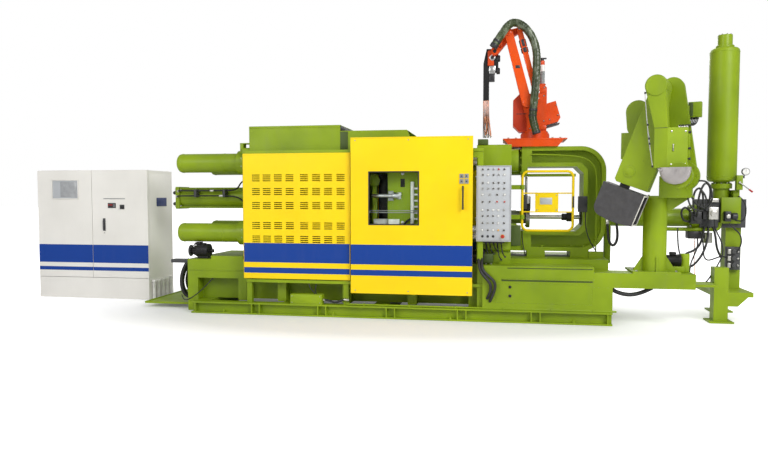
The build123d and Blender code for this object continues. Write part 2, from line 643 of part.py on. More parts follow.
with BuildPart() as shot_plunger:
    rod_x(SLEEVE_END - TIP_L, SLEEVE_END, 0, SHOT_Z, TIP_D)
    rod_x(SLEEVE_END, SHOT_ROD_X1, 0, SHOT_Z, SHOT_ROD_D)
    rod_x(COLLAR_X, COLLAR_X + COLLAR_L, 0, SHOT_Z, COLLAR_D)
    rod_x(SHOT_ROD_X1, SHOT_ROD_X1 + PISTON_L, 0, SHOT_Z, SHOT_CYL_BORE - 2 * SEAT)
finish(shot_plunger, "shot_plunger")
with BuildPart() as shot_cylinder:
    rod_x(CF_X1, SHOT_CYL_X1, 0, SHOT_Z, SHOT_CYL_D)
    rod_x(CF_X1, CF_X1 + PLATE_T, 0, SHOT_Z, SHOT_CYL_FLANGE_D)
    rod_x(SHOT_CYL_X1, SHOT_CYL_X1 + SHOT_CYL_FLANGE_T, 0, SHOT_Z, SHOT_CYL_FLANGE_D)
    rod_x(CF_X1 + PLATE_T, SHOT_CYL_X1, 0, SHOT_Z, SHOT_CYL_BORE, mode=Mode.SUBTRACT)
    rod_x(CF_X1 - OVERRUN, SHOT_CYL_X1, 0, SHOT_Z, SHOT_ROD_D + 2 * SEAT, mode=Mode.SUBTRACT)
finish(shot_cylinder, "shot_cylinder")

# Accumulator over the shot cylinder's end block, on a stand with a front leg
ACC_X = 3180.0
ACC_D = 360.0
ACC_Z0 = 1790.0
ACC_Z1 = 3530.0
ACC_R = 45.0
ACC_CAP_D = 180.0
ACC_CAP_Z1 = 3700.0
ACC_NECK_D = 200.0
BLOCK_Z0 = 1190.0
BLOCK_Z1 = 1560.0
BLOCK_W = 330.0
BLOCK_X1 = 3440.0
shot_cyl_end = SHOT_CYL_X1 + SHOT_CYL_FLANGE_T
acc_edge = [(ACC_D / 2 - ACC_R * back_share, ACC_R * share)
            for share, back_share in zip(edge_shares, reversed(edge_shares))]
with BuildPart() as accumulator:
    with BuildSketch(Plane.XZ):
        with BuildLine():
            Polyline((ACC_X, BLOCK_Z1), (ACC_X + ACC_NECK_D / 2, BLOCK_Z1), (ACC_X + ACC_NECK_D / 2, ACC_Z0),
                     *[(ACC_X + radius, ACC_Z0 + rise) for radius, rise in acc_edge],
                     *[(ACC_X + radius, ACC_Z1 - rise) for radius, rise in reversed(acc_edge)],
                     (ACC_X + ACC_CAP_D / 2, ACC_Z1), (ACC_X + ACC_CAP_D / 2, ACC_CAP_Z1),
                     (ACC_X, ACC_CAP_Z1), close=True)
        make_face()
    revolve(axis=Axis((ACC_X, 0, 0), (0, 0, 1)))
finish(accumulator, "accumulator")
with BuildPart() as valve_block:
    slab(shot_cyl_end, BLOCK_X1, -BLOCK_W / 2, BLOCK_W / 2, BLOCK_Z0, BLOCK_Z1)
finish(valve_block, "valve_block")
STAND_COL_X0 = 3220.0
STAND_COL_W = 190.0
STAND_TABLE_Z0 = 330.0
STAND_TABLE_T = 60.0
STAND_GUSSET_H = 120.0
STAND_GUSSET_T = 20.0
STAND_TIE_LAP = 60.0
STAND_TIE_T = 30.0
LEG_X = 3060.0
FAR_LEG_X = 3315.0
LEG_Y = -440.0
LEG_W = 170.0
LEG_TOP = 700.0
LEG_FOOT_W = 290.0
LEG_FOOT_T = 20.0
with BuildPart() as accumulator_stand:
    slab(STAND_COL_X0, STAND_COL_X0 + STAND_COL_W, -STAND_COL_W / 2, STAND_COL_W / 2,
         STAND_TABLE_Z0 + STAND_TABLE_T, BLOCK_Z0)
    slab(LEG_X - LEG_W / 2, BLOCK_X1, LEG_Y - LEG_W / 2, -LEG_Y + LEG_W / 2,
         STAND_TABLE_Z0, STAND_TABLE_Z0 + STAND_TABLE_T)
    for leg_x, leg_y in ((LEG_X, LEG_Y), (FAR_LEG_X, -LEG_Y)):
        slab(leg_x - LEG_W / 2, leg_x + LEG_W / 2, leg_y - LEG_W / 2, leg_y + LEG_W / 2, 0, STAND_TABLE_Z0)
        slab(leg_x - LEG_FOOT_W / 2, leg_x + LEG_FOOT_W / 2, leg_y - LEG_FOOT_W / 2,
             leg_y + LEG_FOOT_W / 2, 0, LEG_FOOT_T)
    slab(LEG_X - LEG_W / 2, LEG_X + LEG_W / 2, LEG_Y - LEG_W / 2, LEG_Y + LEG_W / 2,
         STAND_TABLE_Z0 + STAND_TABLE_T, LEG_TOP)
    for gusset_y in (LEG_Y - LEG_W / 2, LEG_Y + LEG_W / 2 - STAND_GUSSET_T):
        plate_xz(((LEG_X + LEG_W / 2, STAND_TABLE_Z0), (BLOCK_X1 - STAND_GUSSET_H / 2, STAND_TABLE_Z0),
                  (BLOCK_X1 - 3 * STAND_GUSSET_H / 2, STAND_TABLE_Z0 - STAND_GUSSET_H),
                  (LEG_X + LEG_W / 2, STAND_TABLE_Z0 - STAND_GUSSET_H)), gusset_y, gusset_y + STAND_GUSSET_T)
    slab(LB_X1 + SEAT, LEG_X - LEG_W / 2, lb_y1 - STAND_TIE_LAP, LEG_Y + LEG_W / 2,
         LB_Z0, LB_Z0 + STAND_TIE_T)
finish(accumulator_stand, "accumulator_stand")

# Hinged tube guard in front of the shot opening
RING_X0 = 590.0
RING_X1 = 1250.0
RING_Z0 = 1140.0
RING_Z1 = 1930.0
RING_D = 34.0
RING_R = 80.0
RING_Y = -350.0
RING_BARS = (1390.0, 1640.0)
RING_PLATE_X0 = 760.0
RING_PLATE_X1 = 1060.0
RING_PLATE_T = 4.0
HINGE_EYES = (1320.0, 1720.0)
HINGE_H = 60.0
HINGE_D = 64.0
ring_mid_z = (RING_Z0 + RING_Z1) / 2
with BuildSketch(Plane.XZ.offset(-RING_Y)) as ring_outline:
    with Locations(((RING_X0 + RING_X1) / 2, ring_mid_z)):
        RectangleRounded(RING_X1 - RING_X0, RING_Z1 - RING_Z0, RING_R)
ring_path = ring_outline.sketch.face().outer_wire()
with BuildPart() as shot_guard:
    with BuildSketch(Plane.XY.offset(ring_mid_z)):
        with Locations((RING_X0, RING_Y)):
            Circle(RING_D / 2)
    sweep(path=ring_path)
    for bar_z in RING_BARS:
        rod_x(RING_X0, RING_X1, RING_Y, bar_z, RING_D / 2)
    slab(RING_PLATE_X0, RING_PLATE_X1, RING_Y - RING_PLATE_T, RING_Y, RING_BARS[0], RING_BARS[1])
finish(shot_guard, "shot_guard")
with BuildPart() as guard_bracket:
    for eye_z in HINGE_EYES:
        slab(FIXED_T, RING_X0, RING_Y - RING_D / 2, RING_Y + RING_D / 2,
             eye_z - HINGE_H / 2, eye_z + HINGE_H / 2)
        rod_z(RING_X0, RING_Y, eye_z - HINGE_H / 2, eye_z + HINGE_H / 2, HINGE_D)
        rod_z(RING_X0, RING_Y, eye_z - HINGE_H, eye_z + HINGE_H, RING_D + 2 * SEAT, mode=Mode.SUBTRACT)
finish(guard_bracket, "guard_bracket")

# Ladle unit: beam and column, with a drive head whose arms swing in an upright plane that is
# turned towards the pouring hole. Places in that plane are counted from the column's axis.
COL_X = 2190.0
COL_D = 280.0
COL_Z1 = 1580.0
PLATE_Z = 25.0
FOOT_PLATE = 560.0
FOOT_GUSSET_H = 180.0
FOOT_GUSSET_T = 16.0
HEAD_S0 = -130.0
HEAD_S1 = 420.0
HEAD_T0 = -145.0
HEAD_T1 = 190.0
AIM_Y = 200.0
with BuildPart() as ladle_beam:
    slab(SHOT_BED_X1 + SEAT, LB_X1, lb_y0, lb_y1, LB_Z0, LB_Z1)
finish(ladle_beam, "ladle_beam")
head_top = COL_Z1 + PLATE_Z
ladle_turn = atan2(-col_y - AIM_Y, COL_X - POUR_X)
ladle_frame = Plane(origin=(COL_X, col_y, 0), x_dir=(cos(ladle_turn), -sin(ladle_turn), 0),
                    z_dir=(-sin(ladle_turn), -cos(ladle_turn), 0))


def block_in_ladle(s0, s1, t0, t1, z0, z1, mode=Mode.ADD):
    """A block square to the plane in which the ladle arms swing."""
    plate_xz(((s0, z0), (s1, z0), (s1, z1), (s0, z1)), t0, t1, mode=mode, frame=ladle_frame)


with BuildPart() as ladle_column:
    slab(COL_X - FOOT_PLATE / 2, COL_X + FOOT_PLATE / 2, lb_y0, lb_y0 + FOOT_PLATE, LB_Z1, LB_Z1 + PLATE_Z)
    rod_z(COL_X, col_y, LB_Z1 + PLATE_Z, COL_Z1, COL_D)
    plate_xz(((COL_X - FOOT_PLATE / 2 + PLATE_Z, LB_Z1 + PLATE_Z),
              (COL_X + FOOT_PLATE / 2 - PLATE_Z, LB_Z1 + PLATE_Z),
              (COL_X + COL_D / 2, LB_Z1 + PLATE_Z + FOOT_GUSSET_H),
              (COL_X - COL_D / 2, LB_Z1 + PLATE_Z + FOOT_GUSSET_H)),
             col_y - FOOT_GUSSET_T / 2, col_y + FOOT_GUSSET_T / 2)
    slab(COL_X - FOOT_GUSSET_T / 2, COL_X + FOOT_GUSSET_T / 2, lb_y0 + PLATE_Z / 2, col_y,
         LB_Z1 + PLATE_Z, LB_Z1 + PLATE_Z + FOOT_GUSSET_H)
    block_in_ladle(HEAD_S0, HEAD_S1, HEAD_T0, HEAD_T1, COL_Z1, head_top)
    plate_xz(((0, COL_Z1), (HEAD_S1 - PLATE_Z, COL_Z1), (0, COL_Z1 - COL_D)),
             -PLATE_Z / 2, PLATE_Z / 2, frame=ladle_frame)
finish(ladle_column, "ladle_column")

DRIVE_S = 320.0
DRIVE_Z = 1840.0
DRIVE_D = 360.0
DRIVE_T = 150.0
ARM_GAP = 6.0
SHAFT_D = 90.0
BACK_ARM_T = 110.0
FRONT_ARM_T = 150.0
FOREARM_T = 190.0
LOW_W = 290.0
ELBOW_S = 60.0
ELBOW_Z = 2880.0
ELBOW_D = 250.0
drive_t1 = HEAD_T0 + DRIVE_T
back_t0 = drive_t1 + ARM_GAP
back_t1 = back_t0 + BACK_ARM_T
fore_t1 = HEAD_T0 - ARM_GAP
fore_t0 = fore_t1 - FOREARM_T
front_t1 = fore_t0 - ARM_GAP
front_t0 = front_t1 - FRONT_ARM_T
with BuildPart() as ladle_drive:
    rod_y(DRIVE_S, DRIVE_Z, HEAD_T0, drive_t1, DRIVE_D, frame=ladle_frame)
    block_in_ladle(HEAD_S1 - DRIVE_D, HEAD_S1, HEAD_T0, drive_t1, head_top, DRIVE_Z)
    rod_y(DRIVE_S, DRIVE_Z, drive_t1, back_t1, SHAFT_D, frame=ladle_frame)
    rod_y(DRIVE_S, DRIVE_Z, front_t0, HEAD_T0, SHAFT_D, frame=ladle_frame)
finish(ladle_drive, "ladle_drive")

# Ladle lower arm: in front a narrow neck on a wide case whose right front edge is cut back, and
# behind the drive a plate with a lug above the elbow, joined by the elbow shaft
CASE_S0 = 50.0
CASE_S1 = 400.0
CASE_Z0 = 1930.0
CASE_Z1 = 2390.0
CASE_SLOPE = 100.0
NECK_W = 145.0
NECK_TOP_W = 230.0
LUG_S = 170.0
LUG_TOP_Z = 2910.0
LUG_TOP_D = 260.0
BACK_EAR_D = 180.0
shaft_bore = SHAFT_D + 2 * SEAT
case_crease_s = CASE_S0 + NECK_W
case_plan = Plane(origin=ladle_frame.from_local_coords((0, CASE_Z0, 0)), x_dir=ladle_frame.x_dir,
                  z_dir=(0, 0, 1))
with BuildPart() as ladle_lower_arm:
    block_in_ladle(CASE_S0, CASE_S1, front_t0, front_t1, CASE_Z0, CASE_Z1)
    with BuildSketch(case_plan) as case_corner:
        with BuildLine():
            Polyline((case_crease_s, front_t0), (case_crease_s, front_t0 - OVERRUN),
                     (CASE_S1 + OVERRUN, front_t0 - OVERRUN),
                     (CASE_S1 + OVERRUN, front_t0 + CASE_SLOPE), close=True)
        make_face()
    extrude(case_corner.sketch, amount=CASE_Z1 - CASE_Z0, mode=Mode.SUBTRACT)
    plate_xz(((ELBOW_S - ELBOW_D / 2, ELBOW_Z), (CASE_S0, CASE_Z1), (case_crease_s, CASE_Z1),
              (ELBOW_S - ELBOW_D / 2 + NECK_TOP_W, ELBOW_Z)), front_t0, front_t1, frame=ladle_frame)
    rod_y(ELBOW_S, ELBOW_Z, front_t0, front_t1, ELBOW_D, frame=ladle_frame)
    rod_y(DRIVE_S, DRIVE_Z, front_t0, front_t1, LOW_W, frame=ladle_frame)
    with BuildSketch(ladle_frame.offset(-back_t0)) as back_side:
        for centre, diameter in (((DRIVE_S, DRIVE_Z), LOW_W), ((LUG_S, LUG_TOP_Z), LUG_TOP_D),
                                 ((ELBOW_S, ELBOW_Z), BACK_EAR_D)):
            with Locations(centre):
                Circle(diameter / 2)
        make_hull()
    extrude(back_side.sketch, amount=back_t0 - back_t1)
    for t0, t1 in ((front_t0, front_t1), (back_t0, back_t1)):
        rod_y(DRIVE_S, DRIVE_Z, t0 - OVERRUN, t1 + OVERRUN, shaft_bore, mode=Mode.SUBTRACT, frame=ladle_frame)
    rod_y(ELBOW_S, ELBOW_Z, front_t1, back_t0, SHAFT_D, frame=ladle_frame)
finish(ladle_lower_arm, "ladle_lower_arm")

# Ladle forearm: a leaning box cut off square below the ladle's shaft, slotted for the ladle's ear,
# with a bearing cap in front and two housings on its back. Its own places are counted from the
# ladle's shaft, across and along the lean.
CUP_S = -250.0
CUP_Z = 1900.0
EAR_T = 14.0
EAR_W = 120.0
FORE_LEAN = -20.5
FORE_LEFT = 130.0
FORE_RIGHT = 282.0
FORE_BELOW = 163.0
FORE_STRAIGHT = 106.0
FORE_CUT = 30.0
CAP_D = 138.0
CAP_T = 8.0
HOUSE_S = -200.0
HOUSE_Z = 2630.0
HOUSE_D = 280.0
HOUSE_LOW_Z = 2450.0
HOUSE_LOW_D = 250.0
HOUSE_T = 125.0
HOUSE_BOX_S0 = -390.0
HOUSE_BOX_S1 = -150.0
HOUSE_BOX_Z0 = 2060.0
HOUSE_BOX_Z1 = 2380.0
fore_lean = radians(FORE_LEAN)
fore_frame = Plane(origin=ladle_frame.from_local_coords((CUP_S, CUP_Z, 0)),
                   x_dir=(cos(fore_lean) * cos(ladle_turn), -cos(fore_lean) * sin(ladle_turn),
                          sin(fore_lean)),
                   z_dir=ladle_frame.z_dir)
elbow_across = (ELBOW_S - CUP_S) * cos(fore_lean) + (ELBOW_Z - CUP_Z) * sin(fore_lean)
elbow_along = (ELBOW_Z - CUP_Z) * cos(fore_lean) - (ELBOW_S - CUP_S) * sin(fore_lean)
ear_room = EAR_W / 2 + ARM_GAP
ear_t0 = (fore_t0 + fore_t1 - EAR_T) / 2
ear_t1 = ear_t0 + EAR_T
with BuildPart() as ladle_forearm:
    plate_xz(((-FORE_LEFT, elbow_along), (-FORE_LEFT, FORE_CUT - FORE_BELOW),
              (FORE_CUT - FORE_LEFT, -FORE_BELOW), (FORE_RIGHT, -FORE_BELOW), (FORE_RIGHT, FORE_STRAIGHT),
              (elbow_across + ELBOW_D / 2, elbow_along)),
             fore_t0, fore_t1, frame=fore_frame)
    rod_y(ELBOW_S, ELBOW_Z, fore_t0, fore_t1, ELBOW_D, frame=ladle_frame)
    plate_xz(((-FORE_LEFT - OVERRUN, -FORE_BELOW - OVERRUN), (ear_room, -FORE_BELOW - OVERRUN),
              (ear_room, ear_room), (-FORE_LEFT - OVERRUN, ear_room)),
             ear_t0 - ARM_GAP, ear_t1 + ARM_GAP, mode=Mode.SUBTRACT, frame=fore_frame)
    for shaft_s, shaft_z in ((ELBOW_S, ELBOW_Z), (CUP_S, CUP_Z)):
        rod_y(shaft_s, shaft_z, fore_t0 - OVERRUN, fore_t1 + OVERRUN, shaft_bore, mode=Mode.SUBTRACT,
              frame=ladle_frame)
    rod_y(CUP_S, CUP_Z, fore_t0 - CAP_T, fore_t0, CAP_D, frame=ladle_frame)
    arm_xz((HOUSE_S, HOUSE_Z), (HOUSE_S, HOUSE_LOW_Z), HOUSE_D, HOUSE_LOW_D, fore_t1, fore_t1 + HOUSE_T,
           frame=ladle_frame)
    block_in_ladle(HOUSE_BOX_S0, HOUSE_BOX_S1, fore_t1, fore_t1 + HOUSE_T, HOUSE_BOX_Z0, HOUSE_BOX_Z1)
finish(ladle_forearm, "ladle_forearm")

# Casting ladle: a pot below the forearm, leaning, with its mouth to the right, an ear up into the
# forearm's slot and a shaft through it
CUP_W = 505.0
CUP_H = 420.0
CUP_T = 285.0
CUP_WALL = 18.0
CUP_LEAN = -21.0
CUP_TOP_DROP = 209.0
CUP_LEFT = 220.0
CUP_CORNER_R = 120.0
lip_share = 0.93
heel_share = 0.97
cup_t1 = fore_t1 - SEAT
cup_t0 = cup_t1 - CUP_T
lean = radians(CUP_LEAN)
cup_s0 = CUP_S + CUP_TOP_DROP * sin(lean) - CUP_LEFT * cos(lean)
cup_z0 = CUP_Z - CUP_TOP_DROP * cos(lean) - CUP_LEFT * sin(lean)
cup_frame = Plane(origin=ladle_frame.from_local_coords((cup_s0, cup_z0, 0)),
                  x_dir=(cos(lean) * cos(ladle_turn), -cos(lean) * sin(ladle_turn), sin(lean)),
                  z_dir=ladle_frame.z_dir)


def cup_outline(inset, mouth):
    """The pot's side outline drawn in by a chosen inset, open or closed at its mouth."""
    low = CUP_H - inset
    lip = (mouth, inset - CUP_H * lip_share)
    heel = (CUP_CORNER_R, inset - CUP_H * heel_share)
    with BuildLine() as outline:
        Polyline((inset, heel[1] + CUP_CORNER_R), (inset, -inset), (mouth, -inset), lip)
        ThreePointArc(lip, ((mouth + CUP_CORNER_R) / 2, -low), heel)
        RadiusArc(heel, (inset, heel[1] + CUP_CORNER_R), CUP_CORNER_R)
    make_face(outline.edges())


with BuildPart() as ladle_cup:
    with BuildSketch(cup_frame.offset(-cup_t0)):
        cup_outline(0, CUP_W)
    extrude(amount=cup_t0 - cup_t1)
    with BuildSketch(cup_frame.offset(-cup_t0 - CUP_WALL)):
        cup_outline(CUP_WALL, CUP_W + OVERRUN)
    extrude(amount=2 * CUP_WALL - CUP_T, mode=Mode.SUBTRACT)
    arm_xz((CUP_S, CUP_Z), (CUP_S + CUP_TOP_DROP * sin(lean), CUP_Z - CUP_TOP_DROP * cos(lean)),
           EAR_W, EAR_W, ear_t0, ear_t1, frame=ladle_frame)
    with BuildSketch(cup_frame.offset(-cup_t0 - CUP_WALL)):
        cup_outline(CUP_WALL, CUP_W + OVERRUN)
    extrude(amount=2 * CUP_WALL - CUP_T, mode=Mode.SUBTRACT)
    rod_y(CUP_S, CUP_Z, fore_t0 + SEAT, fore_t1 - SEAT, SHAFT_D, frame=ladle_frame)
finish(ladle_cup, "ladle_cup")

# Spray robot on the injection frame
RB_X = 760.0
RB_Y = 0.0
RB_BASE_H = 110.0
RB_BASE_X0 = 330.0
RB_BASE_X1 = 1140.0
RB_BASE_CUT = 90.0
RB_BASE_W = 620.0
RB_PED_D = 390.0
RB_PED_H = 70.0
with BuildPart() as robot_base:
    plate_xz(((RB_BASE_X0 + RB_BASE_CUT, platen_z1), (RB_BASE_X1 - RB_BASE_CUT, platen_z1),
              (RB_BASE_X1, platen_z1 + RB_BASE_H), (RB_BASE_X0, platen_z1 + RB_BASE_H)),
             -RB_BASE_W / 2, RB_BASE_W / 2)
    rod_z(RB_X, RB_Y, platen_z1 + RB_BASE_H, platen_z1 + RB_BASE_H + RB_PED_H, RB_PED_D)
finish(robot_base, "robot_base")
rs_z0 = platen_z1 + RB_BASE_H + RB_PED_H + SEAT
SHOULDER_X = 640.0
SHOULDER_Z = 2860.0
RELBOW_X = 390.0
RELBOW_Z = 3800.0
LINK_DX = 140.0
LINK_DZ = 50.0
WRIST_X = 205.0
WRIST_Z = 3580.0
RS_W = 260.0
RS_LEFT = 300.0
RS_NECK = 110.0
RS_RIGHT = 147.0
RS_CUT = 85.0
RS_DISC_H = 35.0
RS_COVER_Z1 = 2992.0
RS_COLUMN_W = 95.0
RS_COLUMN_Z1 = 3115.0
RS_COLUMN_CUT = 45.0
RS_MOTOR_D = 66.0
RS_MOTOR_Y = -50.0
RS_MOTOR_Z1 = 3440.0
RS_PLUG_D = 40.0
RS_PLUG_Z1 = 3478.0
BOX_L = 205.0
BOX_H = 280.0
BOX_Z0 = 2565.0
BOX_TILT = 16.0
BOX_CUT = 45.0
BOX_W = 220.0
RARM_Y0 = -230.0
RARM_Y1 = -145.0
UARM_Y0 = RARM_Y1 + ARM_GAP
UARM_Y1 = -50.0
LINK_W = 68.0
RARM_W0 = 130.0
RARM_W1 = 112.0
PIN_D = 50.0
HOSE_D = 105.0
HOSE_GAP = 8.0
CLAMP_W = 60.0
hose_y = RARM_Y0 - HOSE_GAP - HOSE_D / 2
hose_route_low = ((768, 2455), (719, 2652), (730, 2855), (750, 3057), (758, 3258))
hose_route_high = ((760, 3459), (742, 3594), (697, 3715), (625, 3820), (540, 3890), (451, 3905),
                   (378, 3868), (312, 3785), (250, 3695), (196, 3612))
LOW_CLAMP_X = 725.0
LOW_CLAMP_Z = 2750.0
HIGH_CLAMP_X = 268.0
HIGH_CLAMP_Z = 3660.0
hose_arc_share = 0.45


def hose_tube(route):
    """A stretch of the hose package, in straight runs and arcs as large as the runs allow."""
    points = [Vector(x, hose_y, z) for x, z in route]
    radii = []
    for before, corner, after in zip(points, points[1:], points[2:]):
        turn = radians((corner - before).get_angle(after - corner))
        run = min((corner - before).length, (after - corner).length)
        radii.append(hose_arc_share * run / tan(turn / 2))
    with BuildLine() as path:
        FilletPolyline(*points, radius=radii)
    with BuildSketch(Plane(origin=path.line @ 0, z_dir=path.line % 0)) as end:
        Circle(HOSE_D / 2)
    sweep(end.sketch, path=path.line)


tilt = radians(BOX_TILT)
box_x = RB_X + RS_RIGHT
column_x = box_x - RS_COLUMN_W
clamp_face = hose_y + HOSE_D / 2 + SEAT
box_places = ((0, 0), (BOX_L - BOX_CUT, 0), (BOX_L, BOX_CUT), (BOX_L, BOX_H), (0, BOX_H))
with BuildPart() as robot_swivel:
    rod_z(RB_X, RB_Y, rs_z0, rs_z0 + RS_DISC_H, RB_PED_D - RS_DISC_H)
    plate_xz(((RB_X - RS_NECK, rs_z0), (box_x, rs_z0), (box_x, RS_COLUMN_Z1 - RS_COLUMN_CUT),
              (box_x - RS_COLUMN_CUT, RS_COLUMN_Z1), (column_x, RS_COLUMN_Z1), (column_x, RS_COVER_Z1),
              (RB_X - RS_LEFT + RS_CUT, RS_COVER_Z1), (RB_X - RS_LEFT, RS_COVER_Z1 - RS_CUT),
              (RB_X - RS_LEFT, rs_z0 + RS_DISC_H + RS_CUT), (RB_X - RS_LEFT + RS_CUT, rs_z0 + RS_DISC_H),
              (RB_X - RS_NECK, rs_z0 + RS_DISC_H)), -RS_W / 2, RS_W / 2)
    plate_xz([(box_x + along * cos(tilt) - up * sin(tilt), BOX_Z0 + along * sin(tilt) + up * cos(tilt))
              for along, up in box_places], -BOX_W / 2, BOX_W / 2)
    rod_z(box_x - RS_COLUMN_CUT - RS_MOTOR_D / 4, RS_MOTOR_Y, RS_COLUMN_Z1, RS_MOTOR_Z1, RS_MOTOR_D)
    rod_z(box_x - RS_COLUMN_CUT - RS_MOTOR_D / 4, RS_MOTOR_Y, RS_MOTOR_Z1, RS_PLUG_Z1, RS_PLUG_D)
    slab(LOW_CLAMP_X - CLAMP_W / 2, LOW_CLAMP_X + CLAMP_W / 2, clamp_face, -RS_W / 2,
         LOW_CLAMP_Z - CLAMP_W / 2, LOW_CLAMP_Z + CLAMP_W / 2)
    rod_y(SHOULDER_X, SHOULDER_Z, RARM_Y0, -RS_W / 2, PIN_D)
    rod_y(SHOULDER_X + LINK_DX, SHOULDER_Z + LINK_DZ, RARM_Y0, -RS_W / 2, PIN_D / 2)
finish(robot_swivel, "robot_swivel")
with BuildPart() as robot_lower_arm:
    arm_xz((SHOULDER_X, SHOULDER_Z), (RELBOW_X, RELBOW_Z), RARM_W0, RARM_W1, RARM_Y0, RARM_Y1)
    rod_y(SHOULDER_X, SHOULDER_Z, RARM_Y0 - OVERRUN, RARM_Y1 + OVERRUN, PIN_D + 2 * SEAT, mode=Mode.SUBTRACT)
    rod_y(RELBOW_X, RELBOW_Z, RARM_Y0 - OVERRUN, RARM_Y1 + OVERRUN, PIN_D + 2 * SEAT, mode=Mode.SUBTRACT)
finish(robot_lower_arm, "robot_lower_arm")
with BuildPart() as robot_link:
    arm_xz((SHOULDER_X + LINK_DX, SHOULDER_Z + LINK_DZ), (RELBOW_X + LINK_DX, RELBOW_Z + LINK_DZ),
           LINK_W, LINK_W, RARM_Y0, RARM_Y1)
    for link_x, link_z in ((SHOULDER_X, SHOULDER_Z), (RELBOW_X, RELBOW_Z)):
        rod_y(link_x + LINK_DX, link_z + LINK_DZ, RARM_Y0 - OVERRUN, RARM_Y1 + OVERRUN,
              PIN_D / 2 + 2 * SEAT, mode=Mode.SUBTRACT)
finish(robot_link, "robot_link")
with BuildPart() as robot_upper_arm:
    arm_xz((RELBOW_X + LINK_DX, RELBOW_Z + LINK_DZ), (RELBOW_X, RELBOW_Z), LINK_W, RARM_W1, UARM_Y0, UARM_Y1)
    arm_xz((RELBOW_X, RELBOW_Z), (WRIST_X, WRIST_Z), RARM_W1, RARM_W1, UARM_Y0, UARM_Y1)
    rod_y(RELBOW_X, RELBOW_Z, RARM_Y0, UARM_Y0, PIN_D)
    rod_y(RELBOW_X + LINK_DX, RELBOW_Z + LINK_DZ, RARM_Y0, UARM_Y0, PIN_D / 2)
    rod_y(WRIST_X, WRIST_Z, UARM_Y0 - OVERRUN, UARM_Y1 + OVERRUN, PIN_D + 2 * SEAT, mode=Mode.SUBTRACT)
    slab(HIGH_CLAMP_X - CLAMP_W / 2, HIGH_CLAMP_X + CLAMP_W / 2, clamp_face, UARM_Y0,
         HIGH_CLAMP_Z - CLAMP_W / 2, HIGH_CLAMP_Z + CLAMP_W / 2)
finish(robot_upper_arm, "robot_upper_arm")

# Hose package, held by a clamp on the swivel and one on the upper arm. The free stretch between
# the two bends as the arm swings.
with BuildPart() as robot_hose_lower:
    hose_tube(hose_route_low)
finish(robot_hose_lower, "robot_hose_lower")
with BuildPart() as robot_hose_upper:
    hose_tube(hose_route_high)
finish(robot_hose_upper, "robot_hose_upper")
SPRAY_T = 70.0
SPRAY_Z1 = 3430.0
SPRAY_BAR_Z0 = 2930.0
SPRAY_BAR_W = 80.0
SPRAY_X = 90.0
SPRAY_TUBE_Z0 = 2415.0
SPRAY_TUBE_D = 10.0
SPRAY_TUBES = 5
with BuildPart() as spray_head:
    rod_y(WRIST_X, WRIST_Z, UARM_Y0, UARM_Y1 + SPRAY_T, PIN_D)
    plate_xz(((WRIST_X - RARM_W1, WRIST_Z + PIN_D), (WRIST_X + PIN_D, WRIST_Z + PIN_D),
              (WRIST_X + PIN_D, SPRAY_Z1 - SPRAY_BAR_W), (SPRAY_X - SPRAY_BAR_W / 2, SPRAY_Z1 - SPRAY_BAR_W),
              (SPRAY_X - SPRAY_BAR_W / 2, SPRAY_Z1)), UARM_Y1 + ARM_GAP, UARM_Y1 + ARM_GAP + SPRAY_T)
    slab(SPRAY_X - SPRAY_BAR_W / 2, SPRAY_X + SPRAY_BAR_W / 2, UARM_Y1 + ARM_GAP,
         UARM_Y1 + ARM_GAP + SPRAY_T, SPRAY_BAR_Z0, SPRAY_Z1)
    with BuildSketch(Plane.XY.offset(SPRAY_TUBE_Z0)) as tube_ends:
        with Locations((SPRAY_X, UARM_Y1 + ARM_GAP + SPRAY_T / 2)):
            with GridLocations((SPRAY_BAR_W - SPRAY_TUBE_D) / (SPRAY_TUBES - 1), SPRAY_T / 2, SPRAY_TUBES, 2):
                Circle(SPRAY_TUBE_D / 2)
    extrude(tube_ends.sketch, amount=SPRAY_BAR_Z0 - SPRAY_TUBE_Z0)
finish(spray_head, "spray_head")

# Control cabinet, standing by itself
CAB_X0 = -6930.0
CAB_X1 = -5050.0
CAB_D = 780.0
CAB_H = 2000.0
CAB_WALL = 25.0
CAB_DOOR_T = 28.0
CAB_DOOR_Z0 = 330.0
CAB_GAP = 5.5
CAB_BACK_GAP = 8.0
CAB_PIN_D = 12.0
CAB_PIN_IN = 10.0
CAB_PIN_L = 40.0
cab_mid = (CAB_X0 + CAB_X1) / 2
cab_plinth = CAB_DOOR_Z0 - CAB_GAP
with BuildPart() as cabinet_body:
    slab(CAB_X0, CAB_X1, 0, CAB_D, 0, CAB_H)
    slab(CAB_X0, CAB_X1, 0, CAB_DOOR_T + CAB_BACK_GAP, cab_plinth, CAB_H, mode=Mode.SUBTRACT)
    slab(CAB_X0 + CAB_WALL, CAB_X1 - CAB_WALL, CAB_DOOR_T, CAB_D - CAB_WALL,
         CAB_DOOR_Z0 + CAB_WALL, CAB_H - CAB_WALL, mode=Mode.SUBTRACT)
    for pin_x in (CAB_X0 + CAB_PIN_IN, CAB_X1 - CAB_PIN_IN):
        rod_z(pin_x, CAB_PIN_IN, cab_plinth - CAB_PIN_L, cab_plinth + CAB_PIN_L, CAB_PIN_D)
finish(cabinet_body, "cabinet_body")
for label, x0, x1, pin_x in (
        ("cabinet_door_left", CAB_X0, cab_mid - CAB_GAP / 2, CAB_X0 + CAB_PIN_IN),
        ("cabinet_door_right", cab_mid + CAB_GAP / 2, CAB_X1, CAB_X1 - CAB_PIN_IN)):
    with BuildPart() as cabinet_door:
        slab(x0, x1, 0, CAB_DOOR_T, CAB_DOOR_Z0, CAB_H)
        rod_z(pin_x, CAB_PIN_IN, cab_plinth, cab_plinth + CAB_PIN_L + CAB_GAP, CAB_PIN_D + 2 * SEAT,
              mode=Mode.SUBTRACT)
    finish(cabinet_door, label)
